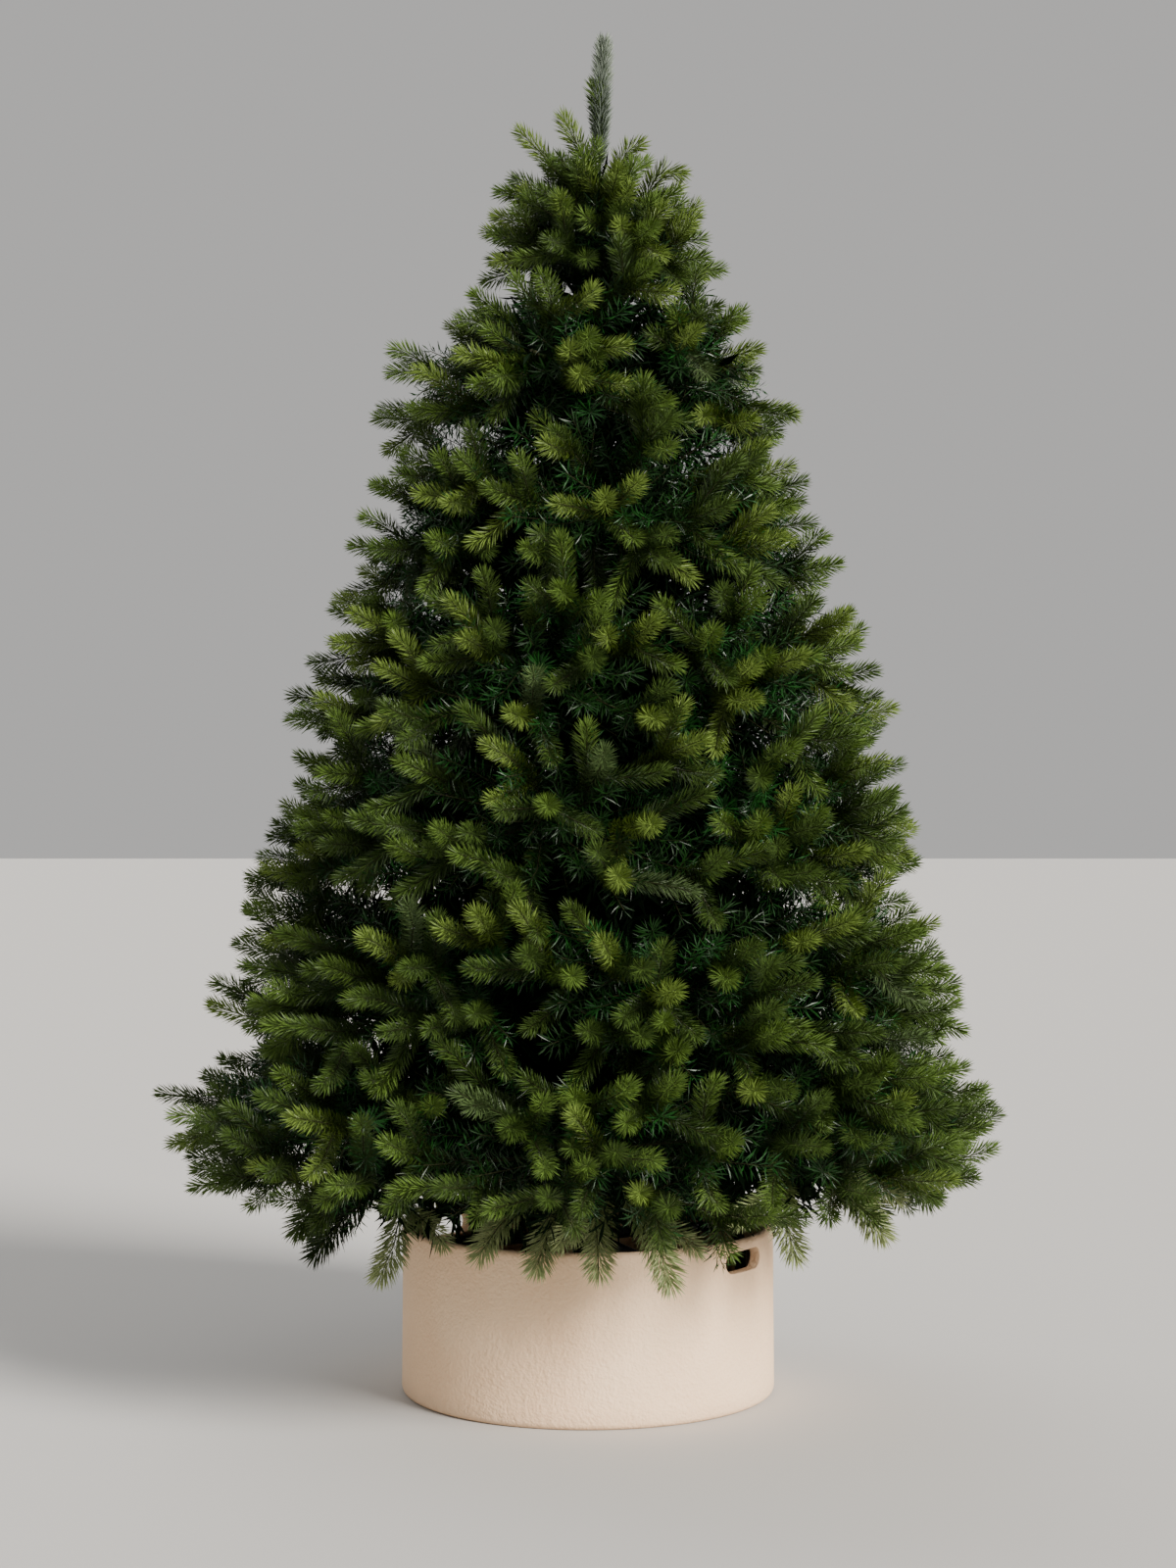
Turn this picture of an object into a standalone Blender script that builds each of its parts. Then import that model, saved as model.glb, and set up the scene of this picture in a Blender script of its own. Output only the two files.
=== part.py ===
"""Artificial Christmas tree, 2.13 m (7 ft), on a folding steel stand inside a round cast collar.

Metres, +Z up, front towards -Y. The origin is under the middle of the stand, on the floor.
An azimuth is counted from the front (-Y) towards +X.

The crown is built upright in its own frame, on a steel pole, and an empty leans it as a whole.
Its space is cut into tiers by cones that rise outwards as the boughs do, and each tier into sectors.
Each sector holds one mass of foliage: a stem, a dense core, and sprays of needles that stand out
of it as far as the crown's reach. A spray that would leave the sector's space is skipped.
"""

import math
import random
from collections import namedtuple

import bmesh
import bpy
from mathutils import Matrix, Vector

GAP = 0.0003  # between two parts that touch
WELDS = (0.00001, 0.000002)  # corners nearer than this are one; the second where the first fails

# The round collar that hides the stand
COLLAR_RADIUS = 0.292
COLLAR_TOP_RADIUS = 0.2905
COLLAR_WALL = 0.018
COLLAR_HEIGHT = 0.260
COLLAR_FOOT_ROUND = 0.010
COLLAR_SEGMENTS = 48
HANDLE_AZIMUTH = math.radians(55)
HANDLE_LENGTH = 0.096
HANDLE_HEIGHT = 0.032
HANDLE_Z = 0.228

# The folding stand
HUB_RADIUS = 0.024
HUB_BORE = 0.0195
HUB_FLOOR = 0.004
HUB_TOP = 0.300
HUB_SEGMENTS = 18
FLANGE_RADIUS = 0.034
ARM_Z = 0.240
ARM_RADIUS = 0.009
ARM_AZIMUTHS = [math.radians(20 + 90 * i) for i in range(4)]
FOOT_RADIUS = 0.0133
FOOT_HEIGHT = 0.018
FOOT_REACH = 0.2602  # from the middle of the stand to the middle of a foot
SCREW_AZIMUTH = math.radians(330)
SCREW_Z = 0.280
SCREW_RADIUS = 0.003

# The pole, and the rings that carry the boughs
LEAN = 0.0105  # sideways travel for each metre of height
POLE_STEPS = [(0.0045, 0.0160), (0.800, 0.0140), (1.350, 0.0125)]  # (from height, radius)
POLE_TOP = 1.720
SLEEVE_CHAMFER = 0.004  # where a thinner length of pole sits in the one below
POLE_SEGMENTS = 16
RING_RADIUS = 0.026
RING_HEIGHT = 0.022

# The crown
TREE_HEIGHT = 2.130
SHOULDER = 1.930  # height where the cone of boughs begins, under the leader
SHOULDER_RADIUS = 0.100
CROWN_DEPTH = 1.550
FLARE = 0.540
FLARE_POWER = 0.75
SKIRT_Z = 0.400  # the crown is widest here and draws in below it
SKIRT_TOP = 0.500  # below this the boughs are longer than those above
SKIRT_EXTRA = 0.020
LONG_AZIMUTH = math.radians(270)  # the lowest boughs reach further to this side
LONG_EXTRA = 0.030
RISE = 0.150  # height gained by a bough for each metre outwards
TIER_EDGES = [0.250, 0.480, 0.720, 0.960, 1.200, 1.450, 1.700]  # cone heights between the tiers
SECTORS = [6, 6, 5, 5, 4, 3]
TIER_TURN = math.radians(137.5)  # each tier's sectors are turned from the one below
BOUGH_TIERS = 2  # tiers whose boughs stand clear of the foliage
BOUGH_END = 0.150
BOUGH_RADIUS = 0.007
BOUGH_SIDES = 6
STEM_RADIUS = 0.006
STEM_SUNK = 0.060  # how far a stem runs on inside its core

# Foliage
CORE_MARGIN = 0.006  # between a core and the edge of its space
SPRAY_MARGIN = 0.0025
SPRAY_ROWS = 0.090  # between rows of tips
SPRAY_COLUMNS = 0.150
SPRAY_STAND = 0.095  # how far a spray stands out of its core
SPRAY_ROOT = 0.070  # how deep its root is sunk
SPRAY_HALF_WIDTH = 0.034
SPRAY_HALF_DEPTH = 0.014
SPRAY_SHORT = 0.3  # the most that a tip falls short of the crown's reach, as a share of its stand
SPRAY_RAISE = 12  # degrees that a spray points up, with the least and most that chance adds
SPRAY_RAISE_CHANCE = (-8, 12)
SPRAY_FAN = 0.25  # how far sprays turn aside from their stem, for their place beside it
SPRAY_FAN_CHANCE = 0.15
SPRAY_ROLL = 0.9
CORE_CUTS = 1
CORE_LUMPS = 0.022  # how far a core's outer corners stand in and out
DROOPS = 4  # hanging sprays in each of the lowest masses
DROOP_Z = (0.205, 0.255)  # heights of their tips, outside the collar
DROOP_RADIUS = (0.355, 0.475)
DROOP_ANGLE = (38, 62)  # degrees downwards
DROOP_LENGTH = 0.190
DROOP_HALF_WIDTH = 0.029
DROOP_LIFT = 0.045  # how much higher they hang before a hand hole, so that a hand gets to it
HANDLE_ROOM = math.radians(30)  # that is before a hand hole
COLLAR_CLEAR = 0.009

# The top of the tree, above the pole
TOP_CORE_Z = 1.724
TOP_CORE_RADIUS = 0.115
LEADER_STEM_TOP = 2.050
LEADER_TURN = math.radians(90)
LEADER_PITCH = math.radians(87)
LEADER_ASIDE = 0.004
LEADER_LENGTH = 0.190
LEADER_HALF_WIDTH = 0.019
WHORL_LENGTH = 0.150
WHORLS = [  # sprays, tip radius, tip height, upward angle, half width, first azimuth in degrees
    (5, 0.135, 1.975, 42, 0.022, 275),
    (6, 0.150, 1.905, 20, 0.026, 300),
    (7, 0.185, 1.840, 12, 0.030, 330),
    (8, 0.205, 1.785, 4, 0.030, 290),
]

Space = namedtuple("Space", "tier sector azimuth half_angle low high")


# ---------------------------------------------------------------- scene, materials and objects


def clear_scene():
    for obj in list(bpy.data.objects):
        bpy.data.objects.remove(obj, do_unlink=True)


def new_collection(name):
    collection = bpy.data.collections.new(name)
    bpy.context.scene.collection.children.link(collection)
    return collection


def make_material(name, colour, roughness, metallic=0.0):
    material = bpy.data.materials.new(name)
    material.use_nodes = True
    shader = material.node_tree.nodes["Principled BSDF"]
    shader.inputs["Base Color"].default_value = (*colour, 1.0)
    shader.inputs["Roughness"].default_value = roughness
    shader.inputs["Metallic"].default_value = metallic
    material.diffuse_color = (*colour, 1.0)
    return material


def add_object(name, data, material, collection, parent=None):
    obj = bpy.data.objects.new(name, data)
    data.materials.append(material)
    collection.objects.link(obj)
    obj.parent = parent
    return obj


def shade_round(mesh, angle=math.radians(40)):
    mesh.shade_smooth()
    mesh.set_sharp_from_angle(angle=angle)


# ---------------------------------------------------------------- plain shapes


def outward(azimuth):
    return Vector((math.sin(azimuth), -math.cos(azimuth), 0.0))


def place(radius, azimuth, z):
    return outward(azimuth) * radius + Vector((0.0, 0.0, z))


def arc(centre, radius, start, end, steps):
    """Points (r, z) of a profile's round, from one angle in degrees to the other."""
    angles = [math.radians(start + (end - start) * i / steps) for i in range(steps + 1)]
    return [(centre[0] + radius * math.cos(a), centre[1] + radius * math.sin(a)) for a in angles]


def turned(name, profile, segments, material, collection, closed=False, parent=None):
    """A profile of (r, z) points, running down the outer side, turned about Z."""
    mesh = bpy.data.meshes.new(name)
    edges = [(i, i + 1) for i in range(len(profile) - 1)]
    if closed:
        edges.append((len(profile) - 1, 0))
    mesh.from_pydata([(r, 0.0, z) for r, z in profile], edges, [])
    obj = add_object(name, mesh, material, collection, parent)
    screw = obj.modifiers.new("Turn", "SCREW")
    screw.steps = segments
    screw.render_steps = segments
    screw.use_merge_vertices = True
    screw.merge_threshold = 0.0001
    screw.use_smooth_shade = False
    return obj


def rod(name, start, end, radii, sides, material, collection, parent=None):
    """A tapering round bar from one point to another."""
    mesh = bpy.data.meshes.new(name)
    bm = bmesh.new()
    length = (end - start).length
    bmesh.ops.create_cone(
        bm, cap_ends=True, segments=sides, radius1=radii[0], radius2=radii[1], depth=length
    )
    bm.to_mesh(mesh)
    bm.free()
    shade_round(mesh)
    obj = add_object(name, mesh, material, collection, parent)
    obj.location = (start + end) / 2
    obj.rotation_mode = "QUATERNION"
    obj.rotation_quaternion = (end - start).to_track_quat("Z", "Y")
    return obj


def cut(obj, cutter):
    cutter.hide_render = True
    cutter.display_type = "WIRE"
    boolean = obj.modifiers.new("Cut " + cutter.name, "BOOLEAN")
    boolean.operation = "DIFFERENCE"
    boolean.object = cutter


# ---------------------------------------------------------------- collar


def collar_profile():
    """Down the outer side, over the rounded foot, and up the inner side to the round rim."""
    half = COLLAR_WALL / 2
    rim = (COLLAR_TOP_RADIUS - half, COLLAR_HEIGHT - half)
    foot = (COLLAR_RADIUS - COLLAR_FOOT_ROUND, COLLAR_FOOT_ROUND)
    return [
        *arc(rim, half, 150, 0, 4),
        *arc(foot, COLLAR_FOOT_ROUND, 0, -90, 3),
        (COLLAR_RADIUS - COLLAR_WALL, 0.0),
    ]


def handle_cutter(azimuth, material, collection):
    """A bar with round ends that passes through the wall."""
    end = HANDLE_HEIGHT / 2
    straight = HANDLE_LENGTH / 2 - end
    outline = arc((straight, 0.0), end, -90, 90, 8) + arc((-straight, 0.0), end, 90, 270, 8)
    curve = bpy.data.curves.new("handle_cut", "CURVE")
    curve.dimensions = "2D"
    curve.fill_mode = "BOTH"
    curve.extrude = COLLAR_WALL * 1.5
    spline = curve.splines.new("POLY")
    spline.points.add(len(outline) - 1)
    for point, (x, y) in zip(spline.points, outline):
        point.co = (x, y, 0.0, 1.0)
    spline.use_cyclic_u = True
    flat = bpy.data.objects.new("handle_outline", curve)
    collection.objects.link(flat)
    mesh = bpy.data.meshes.new_from_object(flat.evaluated_get(bpy.context.evaluated_depsgraph_get()))
    bpy.data.objects.remove(flat, do_unlink=True)
    bm = bmesh.new()
    bm.from_mesh(mesh)
    bmesh.ops.remove_doubles(bm, verts=bm.verts, dist=0.00005)
    bmesh.ops.recalc_face_normals(bm, faces=bm.faces)
    bm.to_mesh(mesh)
    bm.free()
    cutter = add_object("handle_cut", mesh, material, collection)
    cutter.location = place(COLLAR_RADIUS - COLLAR_WALL / 2, azimuth, HANDLE_Z)
    cutter.rotation_euler = (math.radians(90), 0.0, azimuth)
    return cutter


def build_collar(material, collection, cutters):
    collar = turned(
        "collar", collar_profile(), COLLAR_SEGMENTS, material, collection, closed=True
    )
    for azimuth in (HANDLE_AZIMUTH, HANDLE_AZIMUTH + math.pi):
        cut(collar, handle_cutter(azimuth, material, cutters))


# ---------------------------------------------------------------- stand


def build_hub(material, collection, cutters):
    """A tube with a closed foot, and a flange that the arms meet."""
    flange = 1.6 * ARM_RADIUS
    chamfer = 0.002
    profile = [
        (HUB_BORE, HUB_TOP),
        (HUB_RADIUS - chamfer, HUB_TOP),
        (HUB_RADIUS, HUB_TOP - chamfer),
        (HUB_RADIUS, ARM_Z + flange),
        (FLANGE_RADIUS, ARM_Z + flange),
        (FLANGE_RADIUS, ARM_Z - flange),
        (HUB_RADIUS, ARM_Z - flange),
        (HUB_RADIUS, chamfer),
        (HUB_RADIUS - chamfer, 0.0),
        (0.0, 0.0),
        (0.0, HUB_FLOOR),
        (HUB_BORE, HUB_FLOOR),
    ]
    hub = turned("stand_hub", profile, HUB_SEGMENTS, material, collection, closed=True)
    hole = rod(
        "screw_hole",
        place(0.010, SCREW_AZIMUTH, SCREW_Z),
        place(0.040, SCREW_AZIMUTH, SCREW_Z),
        (SCREW_RADIUS + GAP,) * 2,
        12,
        material,
        cutters,
    )
    cut(hub, hole)


def build_screw(material, collection):
    """The thumb screw that clamps the pole: a shank and a round head, turned as one."""
    pole = POLE_STEPS[0][1]
    sideways = LEAN * SCREW_Z * math.sin(SCREW_AZIMUTH)  # how far the leaning pole has moved
    tip = pole + sideways + GAP
    head = HUB_RADIUS + 0.006
    profile = [
        (0.0, head + 0.010),
        (0.008, head + 0.010),
        (0.010, head + 0.008),
        (0.010, head),
        (SCREW_RADIUS, head),
        (SCREW_RADIUS, tip),
        (0.0, tip),
    ]
    screw = turned("clamp_screw", profile, 12, material, collection)
    screw.location = (0.0, 0.0, SCREW_Z)
    screw.rotation_euler = (math.radians(90), 0.0, SCREW_AZIMUTH)


def build_arm(number, azimuth, material, collection):
    """A steel tube that runs out under the collar's rim and turns down to its foot."""
    bend = 0.030
    route = [(FLANGE_RADIUS + GAP, ARM_Z), (FOOT_REACH - bend, ARM_Z)]
    corner = (FOOT_REACH - bend, ARM_Z - bend)
    route += arc(corner, bend, 90, 0, 4)[1:]
    route.append((FOOT_REACH, FOOT_HEIGHT + GAP))
    curve = bpy.data.curves.new(f"stand_arm_{number}", "CURVE")
    curve.dimensions = "3D"
    curve.bevel_depth = ARM_RADIUS
    curve.bevel_resolution = 2
    curve.use_fill_caps = True
    spline = curve.splines.new("POLY")
    spline.points.add(len(route) - 1)
    for point, (radius, z) in zip(spline.points, route):
        point.co = (*place(radius, azimuth, z), 1.0)
    add_object(curve.name, curve, material, collection)


def build_foot(number, azimuth, material, collection):
    """A rubber block under the end of an arm."""
    chamfer = 0.002
    profile = [
        (0.0, FOOT_HEIGHT),
        (FOOT_RADIUS - chamfer, FOOT_HEIGHT),
        (FOOT_RADIUS, FOOT_HEIGHT - chamfer),
        (FOOT_RADIUS, 0.0),
        (0.0, 0.0),
    ]
    foot = turned(f"stand_foot_{number}", profile, 12, material, collection)
    foot.location = place(FOOT_REACH, azimuth, 0.0)


# ---------------------------------------------------------------- crown: its spaces and its reach


def spaces():
    """Every sector of every tier, from the bottom of the crown up."""
    found = []
    for tier, count in enumerate(SECTORS):
        half_angle = math.pi / count
        for sector in range(count):
            azimuth = TIER_TURN * tier + 2 * half_angle * sector
            found.append(
                Space(tier, sector, azimuth, half_angle, TIER_EDGES[tier], TIER_EDGES[tier + 1])
            )
    return found


def space_name(space):
    return f"{space.tier + 1}_{space.sector + 1}"


def reach(azimuth, z):
    """How far out the crown's tips stand at a height, slightly uneven from side to side."""
    down = max(0.0, SHOULDER - max(z, SKIRT_Z)) / CROWN_DEPTH
    radius = SHOULDER_RADIUS + FLARE * down**FLARE_POWER
    radius -= max(0.0, SKIRT_Z - z)
    if z < SKIRT_TOP:
        radius += SKIRT_EXTRA + LONG_EXTRA * max(0.0, math.cos(azimuth - LONG_AZIMUTH)) ** 4
    return radius * (1 + 0.02 * math.sin(3 * azimuth + 9 * z))


def reach_along(azimuth, cone):
    """The crown's reach along a bough that rises from a height on the pole."""
    radius = 0.3
    for _ in range(12):
        radius = 0.5 * (radius + reach(azimuth, cone + RISE * radius))
    return radius


def stand_out(radius):
    """How far sprays stand out of a core whose crown has this reach."""
    return min(SPRAY_STAND, 0.4 * radius)


def cone_height(point):
    """Where the cone through a point meets the pole's axis."""
    return point.z - RISE * math.hypot(point.x, point.y)


def inside(point, space):
    """Whether a point of a spray lies in the space that its mass keeps to."""
    radius = math.hypot(point.x, point.y)
    turn = math.atan2(point.x, -point.y) - space.azimuth
    turn = (turn + math.pi) % (2 * math.pi) - math.pi
    side = radius * math.sin(min(space.half_angle, math.pi / 2) - abs(turn))
    if abs(turn) > space.half_angle or side < SPRAY_MARGIN:
        return False
    cone = cone_height(point)
    if cone > space.high - SPRAY_MARGIN:
        return False
    if cone >= space.low + SPRAY_MARGIN:
        return True
    beside_collar = radius > COLLAR_RADIUS + COLLAR_CLEAR
    above_collar = point.z > COLLAR_HEIGHT + COLLAR_CLEAR
    return space.tier == 0 and (beside_collar or (above_collar and radius > HUB_RADIUS * 3))


# ---------------------------------------------------------------- crown: sprays, cores and stems


def spray_cage(length, half_width, half_depth):
    """A toothed blade along +X: its outline from the tip to the root and back, and its two ridges."""
    side = [(0.86, 0.78), (0.75, 0.40), (0.63, 1.00), (0.50, 0.42)]  # tooth, notch, tooth, notch
    outline = [(1.0, 0.0), *side, (0.0, 0.0), *((x, -y) for x, y in reversed(side))]
    points = [Vector((x * length, y * half_width, 0.0)) for x, y in outline]
    ridges = [Vector((0.66 * length, 0.0, z * half_depth)) for z in (1, -1)]
    return points + ridges


def spray_points(tip, direction, length, half_width, roll):
    """The blade's corners with its tip at a place, pointing along a direction."""
    cage = spray_cage(length, half_width, SPRAY_HALF_DEPTH)
    turn = direction.to_track_quat("X", "Z").to_matrix() @ Matrix.Rotation(roll, 3, "X")
    root = tip - direction * length
    return [root + turn @ corner for corner in cage]


def aim(azimuth, pitch):
    """A direction outwards at an azimuth, raised by an angle."""
    return outward(azimuth) * math.cos(pitch) + Vector((0.0, 0.0, math.sin(pitch)))


def spray_sites(space):
    """Rows and columns of tips on the crown's outside, staggered and seeded: (azimuth, cone height)."""
    height = space.high - space.low
    rows = round(height / SPRAY_ROWS)
    for row in range(rows):
        cone = space.low + height * (row + 0.5) / rows
        radius = reach_along(space.azimuth, cone)
        inset = (SPRAY_HALF_WIDTH + SPRAY_MARGIN) / radius
        width = 2 * (space.half_angle - inset)
        columns = round(width * radius / SPRAY_COLUMNS)
        for column in range(columns):
            chance = random.Random(f"site {space.tier} {space.sector} {row} {column}")
            across = (column + 0.5 + 0.25 * (-1) ** row) / columns - 0.5
            across += chance.uniform(-0.12, 0.12) / columns
            yield chance, space.azimuth + width * across, cone + chance.uniform(-0.012, 0.012)


def sprays(space):
    """The corners of each spray of a mass."""
    for chance, azimuth, cone in spray_sites(space):
        radius = reach_along(azimuth, cone)
        radius -= chance.uniform(0.0, SPRAY_SHORT) * stand_out(radius)
        tip = place(radius, azimuth, cone + RISE * radius)
        fan = SPRAY_FAN * (azimuth - space.azimuth)
        fan += chance.uniform(-SPRAY_FAN_CHANCE, SPRAY_FAN_CHANCE)
        pitch = math.radians(SPRAY_RAISE + chance.uniform(*SPRAY_RAISE_CHANCE))
        length = stand_out(radius) + SPRAY_ROOT
        half_width = min(SPRAY_HALF_WIDTH, 0.16 * radius + 0.010)
        roll = chance.uniform(-SPRAY_ROLL, SPRAY_ROLL)
        yield spray_points(tip, aim(azimuth + fan, pitch), length, half_width, roll)
    if space.tier == 0:
        yield from drooping_sprays(space)


def before_handle(azimuth):
    """Whether a place outside the collar is in front of one of its two hand holes."""
    turn = (azimuth - HANDLE_AZIMUTH + math.pi / 2) % math.pi - math.pi / 2
    return abs(turn) < HANDLE_ROOM


def drooping_sprays(space):
    """Tips that hang from the lowest tier, outside the collar."""
    for i in range(DROOPS):
        chance = random.Random(f"droop {space.sector} {i}")
        across = (i + 0.5) / DROOPS - 0.5
        azimuth = space.azimuth + 1.7 * space.half_angle * across + chance.uniform(-0.04, 0.04)
        tip = place(chance.uniform(*DROOP_RADIUS), azimuth, chance.uniform(*DROOP_Z))
        if before_handle(azimuth):
            tip.z += DROOP_LIFT
        pitch = -math.radians(chance.uniform(*DROOP_ANGLE))
        yield spray_points(tip, aim(azimuth, pitch), DROOP_LENGTH, DROOP_HALF_WIDTH, chance.random())


def core_outside(space, azimuth, up):
    cone = (space.low + space.high) / 2 + up * (space.high - space.low) / 2
    full = reach_along(azimuth, cone)
    return full - stand_out(full)


def core_inside(space, azimuth, up):
    if space.tier < BOUGH_TIERS:
        return BOUGH_END + 0.02
    return 0.035 + 0.25 * core_outside(space, azimuth, up)


def core_corner(space, out, across, up, lump):
    """Maps a corner of a block, -1 to 1 each way, into the mass's space."""
    half = (space.high - space.low) / 2 - CORE_MARGIN
    cone = (space.low + space.high) / 2 + up * half
    azimuth = space.azimuth + across * space.half_angle * 0.8
    inner = core_inside(space, azimuth, up)
    outer = core_outside(space, azimuth, up) + lump * CORE_LUMPS
    radius = inner + (outer - inner) * (out + 1) / 2
    half_angle = space.half_angle - math.asin(min(0.9, CORE_MARGIN / radius))
    return place(radius, space.azimuth + across * half_angle, cone + RISE * radius)


def build_core(space):
    """A lumpy block that fills the inside of the space, with its corners drawn in."""
    bm = bmesh.new()
    bmesh.ops.create_cube(bm, size=2.0)
    bmesh.ops.subdivide_edges(bm, edges=bm.edges, cuts=CORE_CUTS, use_grid_fill=True)
    chance = random.Random(f"core {space.tier} {space.sector}")
    for vert in bm.verts:
        drawn_in = 0.92 + 0.08 / vert.co.length
        out, across, up = (c * drawn_in * chance.uniform(0.97, 1.0) for c in vert.co)
        vert.co = core_corner(space, out, across, up, chance.uniform(-1.0, 1.0))
    bmesh.ops.triangulate(bm, faces=bm.faces)
    bmesh.ops.recalc_face_normals(bm, faces=bm.faces)
    return bm


def blade(corners):
    """One spray as a closed body: triangles from its outline to the ridge on each side."""
    bm = bmesh.new()
    verts = [bm.verts.new(corner) for corner in corners]
    *outline, above, below = verts
    for near, far in zip(outline, outline[1:] + outline[:1]):
        bm.faces.new((near, far, above))
        bm.faces.new((far, near, below))
    bmesh.ops.recalc_face_normals(bm, faces=bm.faces)
    return bm


def as_object(name, bm, collection):
    mesh = bpy.data.meshes.new(name)
    bm.to_mesh(mesh)
    bm.free()
    obj = bpy.data.objects.new(name, mesh)
    collection.objects.link(obj)
    return obj


def largest_shell(bm):
    """Keeps the biggest connected body, which drops loose scraps and sealed hollows."""
    left = set(bm.faces)
    shells = []
    while left:
        shell = [left.pop()]
        for face in shell:
            for edge in face.edges:
                found = [other for other in edge.link_faces if other in left]
                left.difference_update(found)
                shell += found
        shells.append(shell)
    shells.sort(key=len, reverse=True)
    scraps = [face for shell in shells[1:] for face in shell]
    bmesh.ops.delete(bm, geom=scraps, context="FACES")


def union(body, workshop, solver, weld):
    """The body joined with all that the workshop holds, or nothing if the join isn't closed."""
    join = body.modifiers.new("Join", "BOOLEAN")
    join.operation = "UNION"
    join.operand_type = "COLLECTION"
    join.collection = workshop
    join.solver = solver
    depsgraph = bpy.context.evaluated_depsgraph_get()
    mesh = bpy.data.meshes.new_from_object(body.evaluated_get(depsgraph))
    body.modifiers.remove(join)
    bm = bmesh.new()
    bm.from_mesh(mesh)
    largest_shell(bm)
    bmesh.ops.remove_doubles(bm, verts=bm.verts, dist=weld)
    bmesh.ops.dissolve_degenerate(bm, edges=bm.edges, dist=weld)
    bmesh.ops.triangulate(bm, faces=bm.faces)
    bm.to_mesh(mesh)
    closed = all(edge.is_manifold for edge in bm.edges) and all(v.is_manifold for v in bm.verts)
    bm.free()
    return mesh if closed else None


def fuse(name, core, pieces):
    """Joins a core and the pieces that stand out of it into one closed mesh."""
    workshop = new_collection(name + "_pieces")
    body = as_object(name + "_core", core, bpy.context.scene.collection)
    for i, piece in enumerate(pieces):
        as_object(f"{name}_{i}", piece, workshop)
    tries = [(solver, weld) for weld in WELDS for solver in ("EXACT", "MANIFOLD")]
    mesh = next(filter(None, (union(body, workshop, *how) for how in tries)))
    for obj in [body, *workshop.objects]:
        bpy.data.objects.remove(obj, do_unlink=True)
    bpy.data.collections.remove(workshop)
    return mesh


def stem(start, end, radius):
    """The mass's own stem, with five sides."""
    bm = bmesh.new()
    bmesh.ops.create_cone(
        bm, cap_ends=True, segments=5, radius1=radius, radius2=radius * 0.8, depth=(end - start).length
    )
    turn = (end - start).to_track_quat("Z", "Y").to_matrix().to_4x4()
    bmesh.ops.transform(bm, verts=bm.verts, matrix=Matrix.Translation((start + end) / 2) @ turn)
    return bm


def on_bough(space, radius):
    """The point of a bough's axis at a distance from the pole's axis."""
    return place(radius, space.azimuth, (space.low + space.high) / 2 + RISE * radius)


def butt_at(radius, thickness):
    """Where a rising bar's axis starts, so that its square end just clears a round of this radius."""
    return radius + GAP + thickness * RISE


def build_mass(space, material, collection, crown):
    start = BOUGH_END + GAP if space.tier < BOUGH_TIERS else butt_at(RING_RADIUS, STEM_RADIUS)
    end = core_inside(space, space.azimuth, 0.0) + STEM_SUNK
    pieces = [stem(on_bough(space, start), on_bough(space, end), STEM_RADIUS)]
    for corners in sprays(space):
        if all(inside(corner, space) for corner in corners):
            pieces.append(blade(corners))
    name = "foliage_" + space_name(space)
    mesh = fuse(name, build_core(space), pieces)
    add_object(name, mesh, material, collection, crown)


def build_bough(space, material, collection, crown):
    rod(
        "bough_" + space_name(space),
        on_bough(space, butt_at(RING_RADIUS, BOUGH_RADIUS)),
        on_bough(space, BOUGH_END),
        (BOUGH_RADIUS, STEM_RADIUS),
        BOUGH_SIDES,
        material,
        collection,
        crown,
    )


# ---------------------------------------------------------------- crown: pole and top


def pole_profile():
    """Down the pole's outer side, with a ring where each tier's boughs hinge."""
    rings = [(low + high) / 2 + RISE * RING_RADIUS for low, high in zip(TIER_EDGES, TIER_EDGES[1:])]
    events = [(z, "ring") for z in rings] + [(z, "step") for z, _ in POLE_STEPS[1:]]
    profile = [(0.0, POLE_TOP)]
    radius = POLE_STEPS[-1][1]
    profile.append((radius, POLE_TOP))
    for z, kind in sorted(events, reverse=True):
        if kind == "ring":
            top, bottom = z + RING_HEIGHT / 2, z - RING_HEIGHT / 2
            profile += [(radius, top), (RING_RADIUS, top), (RING_RADIUS, bottom), (radius, bottom)]
        else:
            below = [r for start, r in POLE_STEPS if start < z][-1]
            profile += [(radius, z), (below, z - SLEEVE_CHAMFER)]
            radius = below
    profile += [(radius, POLE_STEPS[0][0]), (0.0, POLE_STEPS[0][0])]
    return profile


def leader_sprays():
    """The top of the tree: an upright leader, with whorls around it down to the cone below."""
    tip = Vector((LEADER_ASIDE, 0.0, TREE_HEIGHT))
    yield spray_points(tip, aim(LEADER_TURN, LEADER_PITCH), LEADER_LENGTH, LEADER_HALF_WIDTH, 0.3)
    for count, radius, z, pitch, half_width, turn in WHORLS:
        for i in range(count):
            chance = random.Random(f"whorl {z} {i}")
            azimuth = math.radians(turn + 360 * i / count) + chance.uniform(-0.15, 0.15)
            tip = place(radius * chance.uniform(0.78, 1.0), azimuth, z + chance.uniform(-0.02, 0.02))
            lift = math.radians(pitch + chance.uniform(-8, 8))
            roll = chance.uniform(-SPRAY_ROLL, SPRAY_ROLL)
            yield spray_points(tip, aim(azimuth, lift), WHORL_LENGTH, half_width, roll)


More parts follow.
